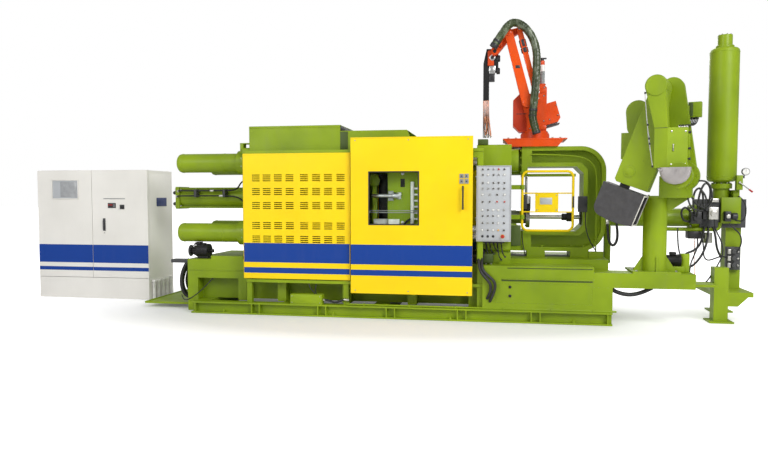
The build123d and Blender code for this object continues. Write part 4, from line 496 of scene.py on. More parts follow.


# Table of small parts, in millimetres. A line that isn't indented starts a piece: its name, finish and
# body, where no body means the machine. The lines under it are its solids: a kind, a place, then
# - block: the other corner, rounding, turn about Y
# - rod: the other end, radius, sides, rounding
# - bolt and socket_bolt: axis, radius, height, and 0 for no washer
# - lathe: axis, sides, and pairs of distance and radius
# - plate: thickness, rounding, and pairs across and up
# - route: its radius, then all its places
# The word ladle puts a solid in the ladle's frame. Copies follow as dx, dy and dz with their shifts,
# as ring with a count, radius, axis, first angle and step, or as also with their own places. A line
# with three spaces goes on from the one above.
# Painted shade: a black patch on the platen face stands in for the inside of a hole
# Painted shade: a black sheet in the dark gap between the platens
# Painted shade: a darker plate on the side of the valve box
# Painted shade: a thin black sheet where the hood's open end shows its dark inside
# Painted shadow: dark strips under the two ledges of the shot bed
# The swivel cover's darker orange is painted shade on the swivel's left side
TABLE = """
# Control cabinet
cabinet_window_frame white cabinet_left_door
 block -6684 -12 1548 -6212 0 1566 3 dz 295
 block -6684 -12 1566 -6666 0 1843 3 dx 454
cabinet_window_recess light_panel cabinet_left_door
 block -6666 -1 1566 -6230 0.5 1843 0
cabinet_window_pane pale_glass cabinet_left_door
 block -6529 -4 1584 -6248 -1 1825 1
cabinet_door_bar grey_plastic cabinet_right_door
 block -5790 -6 1555 -5426 0 1567 2
cabinet_display black_plastic cabinet_right_door
 block -5716 -10 1417 -5582 0 1494 4
cabinet_display_digits red_cap cabinet_right_door
 block -5704 -11.5 1452 -5691 -9.5 1478 0.5 dx 26 52
cabinet_display_keys grey_plastic cabinet_right_door
 block -5622 -13 1428 -5610 -10 1446 1 dx 18 dz 26
cabinet_main_switch black_plastic cabinet_right_door
 block -5514 -8 1398 -5438 0 1468 4
 rod -5476 -8 1433 -5476 -30 1433 24
 block -5482 -50 1409 -5470 -28 1457 3
cabinet_handle dark_grey cabinet_right_door
 block -5808 -5 1060 -5764 0 1256 2
 block -5797 -30 1075 -5775 -12 1225 5
 rod -5786 -4 1205 -5786 -18 1205 16 20
cabinet_lock zinc cabinet_right_door
 rod -5786 0 1030 -5786 -8 1030 10 20
cabinet_side_panel blue_plastic
 block -5050 270 1440 -5038 580 1575 4
cabinet_side_seams white
 block -5050 50 330 -5047 730 1950 1
cabinet_side_conduits white_plastic
 rod -5020 100 6 -5020 100 290 24 20 dy 135 270 405 540
 rod -5020 100 215 -5020 100 240 31 20 dy 135 270 405 540
 block -5050 70 262 -4990 130 296 4 dy 135 270 405 540
cabinet_back_sheets white
 block -6885 780 130 -6002 784 1930 2 dx 907
 block -6705 783 1640 -6182 790 1654 3 dx 907 dz 32 64 96 128 160 192
cabinet_back_screws zinc
 rod -6860 783 160 -6860 787 160 8 12 dx 833 907 1740 dz 580 1160 1740
cabinet_top_rails white
 block -6910 60 2000 -5070 100 2006 2 dy 620
# Covers over the rear ends of the tie bars, closing cylinder
cover_flange_bolts zinc
 bolt -3224 -549.78 1082.5 -x 11 10 ring 10 178 x 18 dy 1099.55 dz 984.99
cover_rim_bands green
 lathe -4178 -549.77 1082.5 x 32 0 132.5 3 135.5 20 135.5 23 132.5 dy 1099.54 dz 985
 lathe -3554 -549.77 1082.5 x 32 0 132.5 3 135 20 135 23 132.5 dy 1099.54 dz 985
closing_cylinder_nuts zinc
 bolt -4500 -125 1450 -x 20 20 dy 250 dz 250
 bolt -4440 -125 1450 x 18 16 dy 250 dz 250
 bolt -3270 0 1575 -x 14 14 ring 12 190 x 15
closing_cylinder_knobs black_plastic
 rod -4545 -110 1485 -4500 -110 1485 28 dz 165
 rod -4560 -110 1485 -4540 -110 1485 20 dz 165
closing_cylinder_tie_rods green
 rod -4440 -140 1435 -3270 -140 1435 13 16 dy 280 dz 280
closing_cylinder_oil_pipes black_paint
 route 11 -4450 -165 1675 -4450 -202 1680 -4380 -207 1680 -4000 -207 1680 -3620 -207 1680 -3500 -207 1705
   -3440 -207 1815 -3330 -207 1845 -3201 -207 1845
 route 11 -4465 -165 1595 -4465 -222 1600 -4360 -227 1605 -3950 -227 1605 -3560 -227 1605 -3420 -227 1555
   -3340 -227 1415 -3201 -227 1385
closing_cylinder_fittings zinc
 rod -4450 -160 1675 -4450 -196 1675 19 6
 rod -4465 -160 1595 -4465 -196 1595 19 6
 rod -3930 -207 1680 -3870 -207 1680 17 6
 rod -3780 -227 1605 -3720 -227 1605 17 6
closing_cylinder_pipe_clamps dark_grey
 block -4170 -247 1585 -4130 -140 1700 4 dx 450
# Spray robot
robot_swivel_cover dark_red robot_swivel
 plate 0 -130 0 6 2 545 2490 640 2490 640 2640 600 2760 560 2985 545 2985 464 2900 464 2570
robot_swivel_seam black_plastic robot_swivel
 block 500 -139 2716 640 -134 2724 1
 block 910 -108 2560 1085 108 2575 2 -16
robot_swivel_bolts dull_steel robot_swivel
 socket_bolt 1035 -110 2835 -y 9 12
 socket_bolt 950 -110 2640 -y 9 12
 socket_bolt 872 -130 2620 -y 9 12 dz 340 450
 socket_bolt 690 -130 2520 -y 9 12
 socket_bolt 1060 -110 2700 -y 9 12
 socket_bolt 700 -130 2940 -y 9 12
 bolt 760 0 2480.3 z 8 8 ring 12 165 z 15
robot_swivel_ribs orange robot_swivel
 lathe 760 0 2445.4 z 48 0 190 12 190 16 186
 block 812 -136 2995 905 -130 3060 3
 block 800 -150 2500 905 -130 2560 8
 rod 846 -50 3112 846 -50 3128 50 28
robot_arm_motor grey_plastic robot_swivel
 lathe 846 -50 3126 z 28 0 38 14 38 18 34.5 172 34.5
 rod 846 -50 3160 846 -50 3166 36.5 28 1 dz 30 60 90 120
robot_arm_motor_head white_plastic robot_swivel
 lathe 846 -50 3300 z 28 0 35 80 35 90 31 136 31 142 26
robot_arm_motor_plug black_plastic robot_swivel
 rod 846 -50 3440 846 -50 3482 21.5 20
 block 850 -62 3462 902 -38 3482 5
robot_base_bolts zinc
 bolt 400 -260 2375 z 16 14 dx 100 580 680 dy 520
robot_base_plate orange
 block 326 -314 2357 1170 314 2375.2 4
robot_arm_caps orange robot_lower_arm
 lathe 640 -230 2860 -y 32 0 58 4 58 6 55
 lathe 390 -230 3800 -y 32 0 40 4 40 6 37
robot_arm_clamp black_plastic robot_lower_arm
 block 484 -233 3320 546 -200 3362 5
robot_link_wrap black_plastic robot_link
 rod 568.55 -187.5 3705.04 594.26 -187.5 3608.4 47 24 6
 rod 597.34 -187.5 3596.8 614.82 -187.5 3531.09 49 24 6
robot_link_pins dull_steel robot_link
 rod 780 -230.5 2910 780 -234.5 2910 18 20
 rod 530 -230.5 3850 530 -234.5 3850 18 20
robot_wrist orange spray_head
 block 108 -72 3395 196 35 3606 14
 block 190 -64 3560 234 30 3612 10
robot_wrist_flange bright_steel spray_head
 block 128 -60 3290 214 30 3398 6
 rod 172 -75 3505 172 -69 3505 40 28 2
 rod 168 -68 3345 168 -58 3345 30 28
spray_couplers black_plastic spray_head
 rod 196 -15 3500 226 -15 3500 30 24 4
 lathe 222 -15 3500 x 24 0 28 6 46 50 46 58 38
 rod 212 -15 3330 232 -15 3330 26 24 4
 lathe 226 -15 3330 x 24 0 26 6 44 44 44 52 36
 rod 172 -79 3505 172 -74 3505 22 20 2
 block 130 -50 3186 206 25 3292 6
spray_feed_blocks blue_plastic spray_head
 block 244 -40 3474 262 10 3526 4
# Accumulator, its valves and hoses
accumulator_seams green
 lathe 3180 0 1850 z 48 0 179.5 3 182.5 12 182.5 15 179.5 dz 1620
 lathe 3180 0 3530 z 36 0 112 30 112 34 108
 lathe 3180 0 1700 z 36 0 130 60 130 64 126
accumulator_studs zinc
 bolt 3180 0 1764 z 10 10 ring 10 116 z 0
 bolt 3180 0 3700 z 9 10 ring 8 74 z 0
shot_cylinder_flange_bolts zinc
 socket_bolt 2790 0 1315 -x 13 16 ring 12 150 x 15
accumulator_manifold green
 block 3125 -215 1245 3365 -165 1585 6
 block 3295 -235 1680 3372 -165 1870 6
 block 3280 -160 1560 3360 100 1680 6
shot_valves_black black_plastic
 block 3150 -300 1275 3225 -215 1405 8
 rod 3235 -262 1340 3305 -262 1340 45 28 6
 block 2735 -300 1240 2870 -180 1400 10
 block 2885 -290 1300 2985 -170 1500 10
 rod 2800 -300 1320 2800 -335 1320 40 28
 rod 2935 -290 1440 2935 -330 1440 34 28
 block 2745 -150 1040 2940 10 1140 12
shot_valve_solenoids zinc
 block 2942 -340 1300 3060 -250 1460 8
 rod 3000 -340 1380 3000 -362 1380 40 28 4
 rod 3185 -300 1340 3185 -322 1340 26
 block 2972 -200 1520 3100 -110 1570 6
 rod 2995 -110 985 2995 -110 1120 55 28 6
pressure_gauge black_plastic
 lathe 3405 -200 1915 -y 36 0 48 30 48 32 44
 rod 3395 -190 1868 3395 -190 1830 9 12
pressure_gauge_dial white_plastic
 rod 3405 -232.5 1915 3405 -233.5 1915 41 36 0
pressure_gauge_needle black_plastic
 block 3403.5 -235 1910 3406.5 -234 1948 0
 rod 3405 -234.5 1915 3405 -235.3 1915 2.2 8 0 ring 9 35 y 225 -33.75
shut_off_lever dull_steel
 rod 3330 -235 1775 3330 -255 1775 14 20
 rod 3330 -250 1775 3480 -250 1655 7 12
shut_off_grip red_cap
 rod 3440 -250 1687 3484 -250 1652 12 16
column_valves dark_grey
 block 3215 -175 640 3385 -96 940 8
 rod 3300 -175 700 3300 -215 700 30 dz 90 180
column_valve_coils zinc
 block 3225 -205 670 3262 -170 730 4 dz 90 180
 rod 3352 -172 700 3352 -200 700 13 6 dz 90 180
shot_oil_pipes green
 route 26 2400 -20 1200 2420 -100 1165 2520 -130 1165 2750 -140 1165 2950 -140 1165 3040 -140 1165
 route 26 3040 -140 1165 3100 -140 1165 3130 -150 1200 3130 -160 1260
shot_hoses_thick rubber
 route 13 2800 -335 1340 2790 -400 1420 2800 -400 1620 2870 -380 1780 2940 -360 1740 2960 -330 1620 2950
   -300 1500
 route 13 2780 -300 1380 2740 -360 1480 2750 -360 1660 2830 -330 1720 2880 -300 1620 2890 -270 1500
 route 13 2745 -240 1280 2690 -250 1260 2630 -270 1320 2620 -280 1420 2680 -270 1470 2740 -240 1400
shot_hoses_thin rubber
 route 9 3020 -300 1300 3020 -330 1180 3100 -360 1020 3120 -370 860 3060 -360 720 2980 -370 580 2900 -400
   480 2840 -420 450
 route 9 2600 -200 1180 2585 -270 1050 2600 -310 850 2680 -330 680 2720 -360 550 2740 -400 450
 route 9 2860 -150 1050 2860 -200 950 2800 -260 840 2740 -310 720 2720 -360 580 2700 -420 450
 route 9 2920 -150 1050 2930 -200 920 2920 -220 820 2960 -240 760 3050 -200 780 3160 -160 820 3215 -140 800
 route 9 3280 -215 1300 3360 -260 1260 3410 -260 1340 3410 -250 1480 3380 -220 1560 3340 -180 1600
 route 9 3330 -215 880 3370 -250 960 3360 -260 1100 3280 -250 1180 3220 -230 1250
valve_block_hoses rubber
 route 14 2930 -190 1200 2900 -260 1080 2820 -400 960 2700 -560 905 2610 -670 895 2575 -700 870
 route 14 2980 -190 1200 2960 -270 1060 2880 -380 880 2760 -520 760 2650 -640 705 2555 -690 695
 route 14 3040 -190 1200 3050 -260 1100 3060 -270 960 3100 -240 860 3150 -180 800
shot_copper_lines copper
 route 5 2840 -120 1060 2820 -160 950 2815 -200 700 2810 -280 500 2780 -360 450
# Ladle unit
ladle_arm_seams black_plastic ladle_lower_arm
 ladle plate 0 -497 0 1.5 0 50 2386 195 2386 195 2391 50 2391
 ladle plate 0 -497 0 1.5 0 -34 2772 138 2815 138 2819 -34 2776
ladle_elbow_cap green ladle_lower_arm
 ladle lathe 60 -497 2880 -y 48 0 118 6 118 9 114
 ladle plate 0 -362 0 20 4 392 2030 420 2030 420 2330 392 2330
ladle_arm_bolts zinc ladle_lower_arm
 ladle bolt 235 -477.48 1965 0.49,-1,0 9 7 dz 380
 ladle bolt 375 -409.16 1965 0.49,-1,0 9 7 dz 380
 ladle rod 255 -477 2120 255 -477 2200 6 14
 ladle rod 255 -473 2124 262 -461 2124 6 12 dz 72
ladle_case_clips black_plastic ladle_lower_arm
 ladle rod 398 -382 2030 424 -382 2030 10 14 dz 120 305
 ladle rod 424 -382 2014 424 -382 2046 8 14 dz 120 305
ladle_cable_glands zinc ladle_lower_arm
 ladle rod 350 195 2560 350 195 2535 9 12 dx 18 36 54 72 90
 ladle rod 300 -385 2390 300 -385 2408 9 12 dx 18 36 54 72 90
ladle_valve_box green ladle_lower_arm
 ladle plate 0 235 0 90 6 330 2560 480 2560 480 2745 330 2745
 ladle plate 0 190 0 60 4 300 2600 345 2600 345 2700 300 2700
ladle_valve_box_side dark_green ladle_lower_arm
 ladle plate 0 145 0 4 1 336 2570 386 2570 386 2735 336 2735
ladle_wire_joints black_plastic ladle_lower_arm
 ladle rod -58 -509 2788 -58 -509 2812 10 14 also -20 -509 2418 -4 -509 2258 4 -509 2198 38 -509 1933
 ladle block -62 -501 2792 -50 -487 2812 3
ladle_forearm_pins green ladle_forearm
 ladle rod -250 -351 1900 -250 -353 1900 50 32 1
 ladle rod -95 -341 2020 -95 -346 2020 8 12
 ladle rod -110 -341 2330 -110 -346 2330 8 12
ladle_pin_groove dark_green ladle_forearm
 ladle lathe -250 -341 1900 -y 36 0 62 4 62 4 55 0 55
ladle_bowl_holder dull_steel
 ladle rod 320 -497 1840 320 -517 1840 38
ladle_drive_bolts green
 ladle rod 320 -145 1840 320 -148 1840 13 6 1 ring 10 158 y 0
ladle_drive_motor black_paint
 lathe 2352 -700 800 x 32 0 40 10 68 130 72 140 78 168 78
 block 2395 -745 868 2465 -655 905 6
ladle_drive_gearbox green
 rod 2575 -700 655 2575 -700 885 55 32 6
 block 2375 -765 655 2560 -650 728 6
ladle_foot_bolts zinc
 bolt 1960 -945 680 z 14 12 dx 460 dy 270
 ladle bolt -105 -115 1605 z 12 10 dy 275
 ladle bolt 395 160 1605 z 12 10
ladle_drive_cables rubber
 ladle route 10 480 -80 1780 560 -85 1790 620 -80 1720 640 -50 1600 620 10 1500 560 60 1460
 ladle route 10 490 -60 1700 545 -60 1650 580 -40 1560 570 0 1470
 ladle route 10 420 -100 1590 450 -130 1540 500 -120 1480 560 -60 1460
 ladle route 10 380 -120 1590 400 -160 1500 470 -160 1430 540 -80 1430
beam_hose rubber
 route 26 1600 -900 500 1660 -900 455 1760 -900 400 1900 -890 375 2050 -880 410 2160 -870 468
# Base, beds and the left end
rail_conduit green
 rod -1680 -970 174 1730 -970 174 12.5 16
 block -1462 -990 160 -1438 -950 190 3 dx 600 1200 1800 2400 2900
rail_anchor_bolts green
 rod -3410 -970 20 -3410 -970 24 26 24 1 dx 1540 3090 4630 dy 1940
 bolt -3410 -970 23 z 19 16 0 dx 1540 3090 4630 dy 1940
 rod -3410 -970 36 -3410 -970 62 10 16 dx 1540 3090 4630 dy 1940
terminal_box_lid green
 block -2440 -1006 172 -2025 -1000 285 3
terminal_box_screws zinc
 rod -2424 -1006 186 -2424 -1010 186 6 12 dx 383 dz 83
 rod -2015 -950 220 -1985 -950 220 18 6
 rod -1730 -935 230 -1660 -935 222 20 16
terminal_box_cables rubber
 route 7 -2220 -900 500 -2220 -915 420 -2190 -925 360 -2150 -925 330 -2130 -920 290
 route 7 -2110 -900 500 -2112 -915 440 -2120 -925 380 -2125 -925 335 -2110 -920 290
terminal_box_hose rubber
 route 14 -1990 -940 220 -1940 -940 215 -1880 -938 190 -1820 -936 190 -1770 -935 215 -1725 -935 230
shot_bed_front_plate green
 block 240.4 -979.7 250.4 1434.6 -960.4 499.6 0
 block 330 -990 548 1440 -979 560 2
shot_bed_ledge_gaps dark_green
 block 330 -984 528 1440 -979.5 548 1
 block 400 -983 688 1440 -979.5 700 1
shot_bed_bolts black_paint
 bolt 435 -980 340 -y 15 12 dz 114
bed_bolts green
 bolt -3130 -745 720 z 18 14 dx 200 2530 2830 3230 dy 1490
 bolt -4020 -550 600 -x 16 12 dy 350 750 1100
bed_edge_strips green
 block -3990 -786 560 -3200 -780 572 2
 block -4760 -640 68 -3900 -625 84 3 dy 1265
 block -4765 -640 68 -4750 640 84 3
die_height_motor_cover dark_grey
 rod -4044 -600 825 -4060 -600 825 82 32 6
 block -4330 -670 652 -4020 -530 702 6
left_end_hose rubber
 route 28 -4060 -640 700 -4110 -645 640 -4170 -650 500 -4185 -650 360 -4160 -640 240 -4110 -620 170 -4030
   -600 150
 route 28 -4060 -560 690 -4120 -560 630 -4190 -570 500 -4215 -570 350 -4180 -560 220 -4120 -550 150 -4030
   -540 130
 route 28 -4050 -480 640 -4120 -480 600 -4160 -490 480 -4180 -490 360 -4150 -480 260 -4100 -470 200 -4030
   -470 190
left_end_cable rubber
 route 7 -4185 -640 190 -4080 -800 130 -3960 -830 170 -3830 -830 260 -3710 -800 380 -3640 -760 470
# Hoods, louvre panel and guards
hood_seams green
 block -3090 -784 2520 -1810 -780 2546 2
 block -3090 -783 2205 -1810 -780 2222 1
 block -1805.7 -783 2205 -820 -780 2222 1
hood_open_end black_paint
 block -1809 -768 2476 -1806 768 2538 1
hood_bolts zinc
 bolt -3010 -835 2176 z 9 8 dx 186.67 373.33 560 746.67 933.33 1120 1280.3 1477.72 1675.15 1872.58 2070
   dy 1670
hood_joint_flap dark_green
 block -1808 -786 2186 -1705 -780.5 2460 2
hood_corner_brackets green
 block -3250 -720 2190 -3201 -600 2330 6 dy 1320
 block -3250 -720 2318 -3100 -600 2332 3 dy 1320
louvre_screws yellow
 rod -3090 -950 510 -3090 -954 510 7 12 dx 284 568 852 1136 1420 dz 1640
louvre_hems yellow
 block -3120 -952 490 -3114 -950 2170 1 dx 1474
back_guard_bolts dull_steel
 rod -3070 950 520 -3070 955 520 9 12 dx 345.56 691.11 1036.67 1382.22 1727.78 2073.33 2418.89 2764.44
   3110 dz 1620
back_guard_joints yellow
 block -2064.65 950 500 -2024.65 955 2160 2 dx 1068.93
 rod -2574.3 980 1250 -2574.3 980 1450 9 12 dx 1059.3 2118.6
 rod -2574.3 950 1256 -2574.3 980 1256 8 12 dx 1059.3 2118.6 dz 188
# Sliding door and what shows through its window
door_window_seal rubber safety_door
 block -1385 -1009 1225 -720 -981.5 1239 2 dz 681
 block -1385 -1009 1239 -1371 -981.5 1906 2 dx 651
door_edge_folds yellow safety_door
 block -1620 -1008 330 -40 -1005 344 1 dz 2016
door_key_switch yellow safety_door
 block -212 -1013 1752 -84 -1005 1888 4
door_key_squares grey_plastic safety_door
 block -206 -1017 1758 -152 -1012 1816 3 dx 62 dz 66
door_key_holes black_plastic safety_door
 rod -179 -1017 1787 -179 -1023 1787 9 16 dx 62 dz 66
door_bolts dull_steel safety_door
 rod -1560 -1005 370 -1560 -1009 370 8 12 dx 700 1460 dz 1950
moving_platen_bolts zinc moving_platen
 rod -770 -330 1235 -760 -330 1235 20 16 2 dy 220 440 660 dz 160 320 480 640
 bolt -970 -760 1250 -y 18 14 dz 650
moving_platen_hole black_paint moving_platen
 block -1000 -761.5 1720 -940 -759 1830 1
die_space_manifold white_plastic moving_platen
 block -860 -800 1240 -815 -762 1790 6
 rod -815 -782 1300 -770 -782 1300 13 16 dz 80 160 240 320 400
die_space_fittings zinc moving_platen
 rod -772 -782 1300 -748 -782 1300 17 6 dz 80 160 240 320 400
die_space_hoses rubber moving_platen
 route 14 -838 -782 1245 -838 -790 1160 -870 -790 1080 -930 -780 1020 -1000 -766 980
 route 14 -860 -790 1300 -920 -800 1270 -960 -800 1180 -990 -785 1090 -1040 -766 1030
moving_platen_switch grey_plastic moving_platen
 block -1158 -800 1540 -1090 -761 1670 6
moving_platen_bracket white_plastic moving_platen
 block -1160 -790 1228 -1010 -761 1296 4
die_space_link green moving_platen
 plate 0 -600 0 20 3 -1440 1740 -1330 1740 -1300 1820 -1345 1890 -1440 1890
 block -1400 -640 1240 -1340 -580 1745 6
die_space_gap black_paint moving_platen
 block -1330 -560 1235 -1190 -540 1900 4
die_space_block white_plastic moving_platen
 block -1375 -700 1226 -1176 -620 1296 6
die_space_post green
 block -735 -905 700 -685 -860 2095 5
die_space_ram bright_steel moving_platen
 rod -1380 -788 1605 -1040 -788 1605 26 28
 rod -1090 -788 1605 -1010 -788 1605 45 28 6
 block -1030 -815 1560 -985 -758 1650 5
bar_grease_line dull_steel
 rod -2830 -853 1385 -690 -853 1385 6 12 dz 25
 block -2860 -864 1370 -2815 -755 1425 4
die_face_clamps zinc
 rod 0 -660 1300 -20 -660 1300 24 20 dy 1320 dz 540
# Operator panel
panel_frame panel_silver
 block 5 -960 1025 440 -955 1037 2 dz 948
 block 5 -960 1037 17 -955 1973 2 dx 423
panel_field light_panel
 block 25 -958 1045 420 -955 1965 1
emergency_stop red_cap
 rod 336 -967 1091 336 -983 1091 15 20
 lathe 336 -981 1091 -y 32 0 20 8 22 14 19 18 12
emergency_stop_collar amber_cap
 rod 336 -958 1091 336 -961 1091 27 32 1
panel_sockets black_plastic
 rod 84 -958 1091 84 -967 1091 16 20 2 dx 67 134
door_top_stop dark_green
 block 10 -755 2262 140 -560 2335 5
platen_side_box dark_green
 block 441 -740 960 567 -560 1220 8
under_panel_box dark_green
 block 95 -850 740 220 -762 860 6
under_panel_fittings zinc
 rod 125 -806 740 125 -806 715 16 6 dx 65
under_panel_hoses rubber
 route 19 110 -765 900 90 -860 840 75 -960 750 95 -1020 660 170 -1030 590 240 -1030 530 255 -1030 450 225
   -1030 360 195 -1010 290 185 -975 265
 route 19 60 -765 930 30 -850 860 40 -950 740 70 -1010 640 130 -1024 570 190 -1024 500 200 -1024 420 170
   -1010 340 150 -975 300
# Injection frame, shot unit and tube guard
c_frame_bolts green
 bolt 700 -225 916 z 20 18 dx 160 550 710 dy 450
 bolt 580 -235 1920 -x 18 16 dy 470 dz 100 200 300
 bolt 650 0 1315 -x 10 10 ring 10 128 x 0
 socket_bolt 1760 0 1315 x 12 14 ring 10 147 x 0
shot_coupling_block black_paint
 block 578 -200 1395 705 -60 1600 12
 block 590 -230 1230 640 -170 1400 8
 lathe 1388 0 1315 -x 36 0 112 12 112 16 106
shot_sleeve_bracket yellow
 block 500 -190 1290 600 -150 1345 5
 rod 470 -170 1318 505 -170 1318 17 20
 block 560 -185 1340 585 -155 1400 4
 block 500 -180 1300 540 -80 1330 4
shot_rod_coupling black_paint plunger
 lathe 1130 0 1315 x 32 0 36 6 48 64 48 70 36
 lathe 1198 0 1315 x 32 0 60 4 64 68 64 72 60
shot_opening_switches black_plastic
 block 1320 -310 1390 1440 -262 1600 8
 rod 1380 -286 1480 1345 -286 1480 10 14
 block 585 -340 1430 655 -262 1620 8
sleeve_spray_block dull_steel
 block 600 -262 1500 690 -150 1610 6
 rod 645 -200 1610 645 -200 1860 16 18
c_frame_pads green
 block 660 -268 1862 1290 -258 1900 4
 block 1700 -60 690 1780 60 1195 6
 block 1456 -260 690 1660 -200 860 6
shot_lube_pipes rubber
 route 7 620 -262 1520 600 -285 1350 590 -290 1150 600 -290 980 620 -285 880 640 -300 795
 route 7 1415 -300 1395 1415 -305 1250 1440 -300 1100 1500 -290 960 1560 -280 870
c_frame_pipes green
 route 9 1560 -262 865 1560 -275 1000 1560 -275 1500 1560 -275 1900 1500 -275 2050 1350 -275 2130 900
   -275 2160 700 -270 2160
shot_guard_blank light_panel shot_guard
 block 820 -356 1490 980 -354.2 1580 1
shot_guard_fittings dull_steel shot_guard
 rod 785 -354 1415 785 -359 1415 8 12 dx 250 dz 200
shot_guard_handle black_plastic shot_guard
 rod 1250 -385 1450 1250 -385 1600 10 16
 rod 1250 -360 1456 1250 -385 1456 8 12 dz 138
u_hose rubber
 route 17 1700 -300 1240 1700 -330 1130 1715 -350 1000 1765 -355 940 1815 -350 1000 1828 -330 1130 1828
   -180 1260
u_hose_ends zinc
 rod 1700 -298 1225 1700 -296 1290 22 6
 block 1672 -315 1285 1728 -262 1330 6
# Straps round the robot's hose package
robot_hose_straps_low black_plastic robot_swivel
 rod 772.67 -290.5 2433.65 763.33 -290.5 2466.35 56.44 32
 rod 718.47 -290.5 2671.02 718.7 -290.5 2681.02 56.44 32
 rod 722.84 -290.5 2735.95 724.69 -290.5 2765.9 56.44 32
robot_hose_straps_high black_plastic robot_upper_arm
 rod 246.06 -290.5 3689.16 229.59 -290.5 3664.08 56.44 32
 rod 214.32 -290.5 3640.39 186.14 -290.5 3596.68 56.44 32
"""
X, Y, Z = Vector((1, 0, 0)), Vector((0, 1, 0)), UP
AXES = {"x": X, "-x": -X, "y": Y, "-y": -Y, "z": Z, "-z": -Z}
RING_DIRECTIONS = {"x": (Y, Z), "y": (X, Z), "z": (X, Y)}


def metre(word):
    """A length in metres from a word in millimetres."""
    return 0.001 * float(word)


def metres(words):
    """Lengths in metres from words in millimetres."""
    return [metre(word) for word in words]


def groups(numbers, size=3):
    """Numbers in groups, three of them to a place."""
    return [tuple(numbers[i:i + size]) for i in range(0, len(numbers), size)]


REPEATS = ("dx", "dy", "dz", "ring", "also")
# What the words after the places of a solid stand for
UNITS = {"block": (metre, float), "rod": (metre, int, metre), "bolt": (metre, metre, int),
         "socket_bolt": (metre, metre)}


def shifts(place, repeats):
    """The shifts of a solid and its copies from its own place."""
    moves = [Vector()]
    for word, *values in repeats:
        if word == "also":
            moves += [Vector(other) - place for other in groups(metres(values))]
            continue
        if word == "ring":
            count, radius, axis, start, *step = values
            across, up = RING_DIRECTIONS[axis]
            turn = float(step[0]) if step else 360 / int(count)
            angles = [math.radians(float(start) + turn * i) for i in range(int(count))]
            more = [metre(radius) * (math.cos(a) * across + math.sin(a) * up) for a in angles]
        else:
            more = [Vector()] + [length * AXES[word[1]] for length in metres(values)]
        moves = [move + step for move in moves for step in more]
    return moves


def add_row(shape, words):
    """Adds the solid of one row, with its copies, to a shape."""
    at, turned = (in_ladle, ladle_direction) if words[0] == "ladle" else (world, world)
    kind, *values = words[words[0] == "ladle":]
    starts = [i for i, word in enumerate(values) if word in REPEATS] + [len(values)]
    repeats = [values[start:end] for start, end in zip(starts, starts[1:])]
    place, values = Vector(metres(values[:3])), values[3:starts[0]]
    for move in shifts(place, repeats):
        here = at(*place + move)
        if kind == "plate":
            thickness, round_off, *points = metres(values)
            shape.plate(groups(points, 2), thickness, here, turned(1, 0, 0), UP, round_off)
            continue
        if kind in ("block", "rod"):
            second, rest = at(*Vector(metres(values[:3])) + move), values[3:]
        else:
            axis = AXES.get(values[0]) or [float(part) for part in values[0].split(",")]
            second, rest = turned(*axis).normalized(), values[1:]
        if kind == "lathe":
            shape.lathe(here, second, groups(metres(rest[1:]), 2), int(rest[0]))
        else:
            more = [unit(word) for unit, word in zip(UNITS[kind], rest)]
            getattr(shape, kind)(here, second, *more)


def build_table():
    """Makes each piece of the table."""
    pieces = []
    for line in TABLE.strip("\n").split("\n"):
        if line.startswith("   "):
            pieces[-1][1][-1] += line.split()
        elif line.startswith(" "):
            pieces[-1][1].append(line.split())
        elif not line.startswith("#"):
            pieces.append((line.split(), []))
    for head, rows in pieces:
        if "route" in rows[0]:
            routes = []
            for row in rows:
                at = in_ladle if row[0] == "ladle" else world
                radius, *numbers = metres(row[row.index("route") + 1:])
                routes.append([at(*place) for place in groups(numbers)])
            name, finish, *body = head
            pipes(name, routes, radius, finish, *body)
        else:
            shape = Shape(*head)
            for row in rows:
                add_row(shape, row)
            shape.make()


# Spray tubes, which end at uneven heights and lean outwards
def spray_tubes():
    """Two rows of copper tubes with a nozzle on each."""
    tubes, columns, first_x, pitch = [], 5, 0.055, 0.0175
    top, bend, lower_bend, end = 2.932, 2.800, 2.620, 2.420
    for index in range(columns):
        for row, y in enumerate((0.0085, -0.0265)):
            x = first_x + pitch * index
            drop = 0.012 * ((3 * index + 5 * row) % 4)
            lean = 0.020 + 0.010 * ((index + row) % 3)
            tubes.append([(x, y, top), (x, y, bend), (x + 0.3 * lean, y + 0.004, lower_bend),
                          (x + lean, y, end + drop)])
    pipes("spray_tubes", tubes, 0.0058, "copper", "spray_head")
    nozzles = Shape("spray_nozzles", "zinc", "spray_head")
    for tube in tubes:
        tip = Vector(tube[-1])
        nozzles.rod(tip + 0.012 * UP, tip - 0.006 * UP, 0.009, 12)
    nozzles.make()


# Hose package of the robot, in two sleeves that meet where both follow the lower arm
HOSE_Y = -0.2905
HOSE_R = 0.0525
HOSE_ROUTE = ((0.768, 2.450), (0.737, 2.560), (0.719, 2.652), (0.724, 2.755), (0.730, 2.855), (0.747, 3.057),
              (0.758, 3.258), (0.760, 3.459), (0.742, 3.594), (0.697, 3.715), (0.625, 3.820), (0.540, 3.890),
              (0.451, 3.912), (0.378, 3.872), (0.312, 3.785), (0.250, 3.695), (0.196, 3.612))
HOSE_SIDES = 36


def along_route(route, share):
    """A place on the smooth curve through the points of a route, for a share from 0 to 1."""
    spans = len(route) - 1
    place = min(share * spans, spans - 1e-6)
    span = int(place)
    t = place - span
    before, start, end, after = (Vector(route[min(max(span + step, 0), spans)]) for step in (-1, 0, 1, 2))
    return 0.5 * ((2 * start) + (end - before) * t + (2 * before - 5 * start + 4 * end - after) * t * t
                  + (3 * start - before - 3 * end + after) * t ** 3)


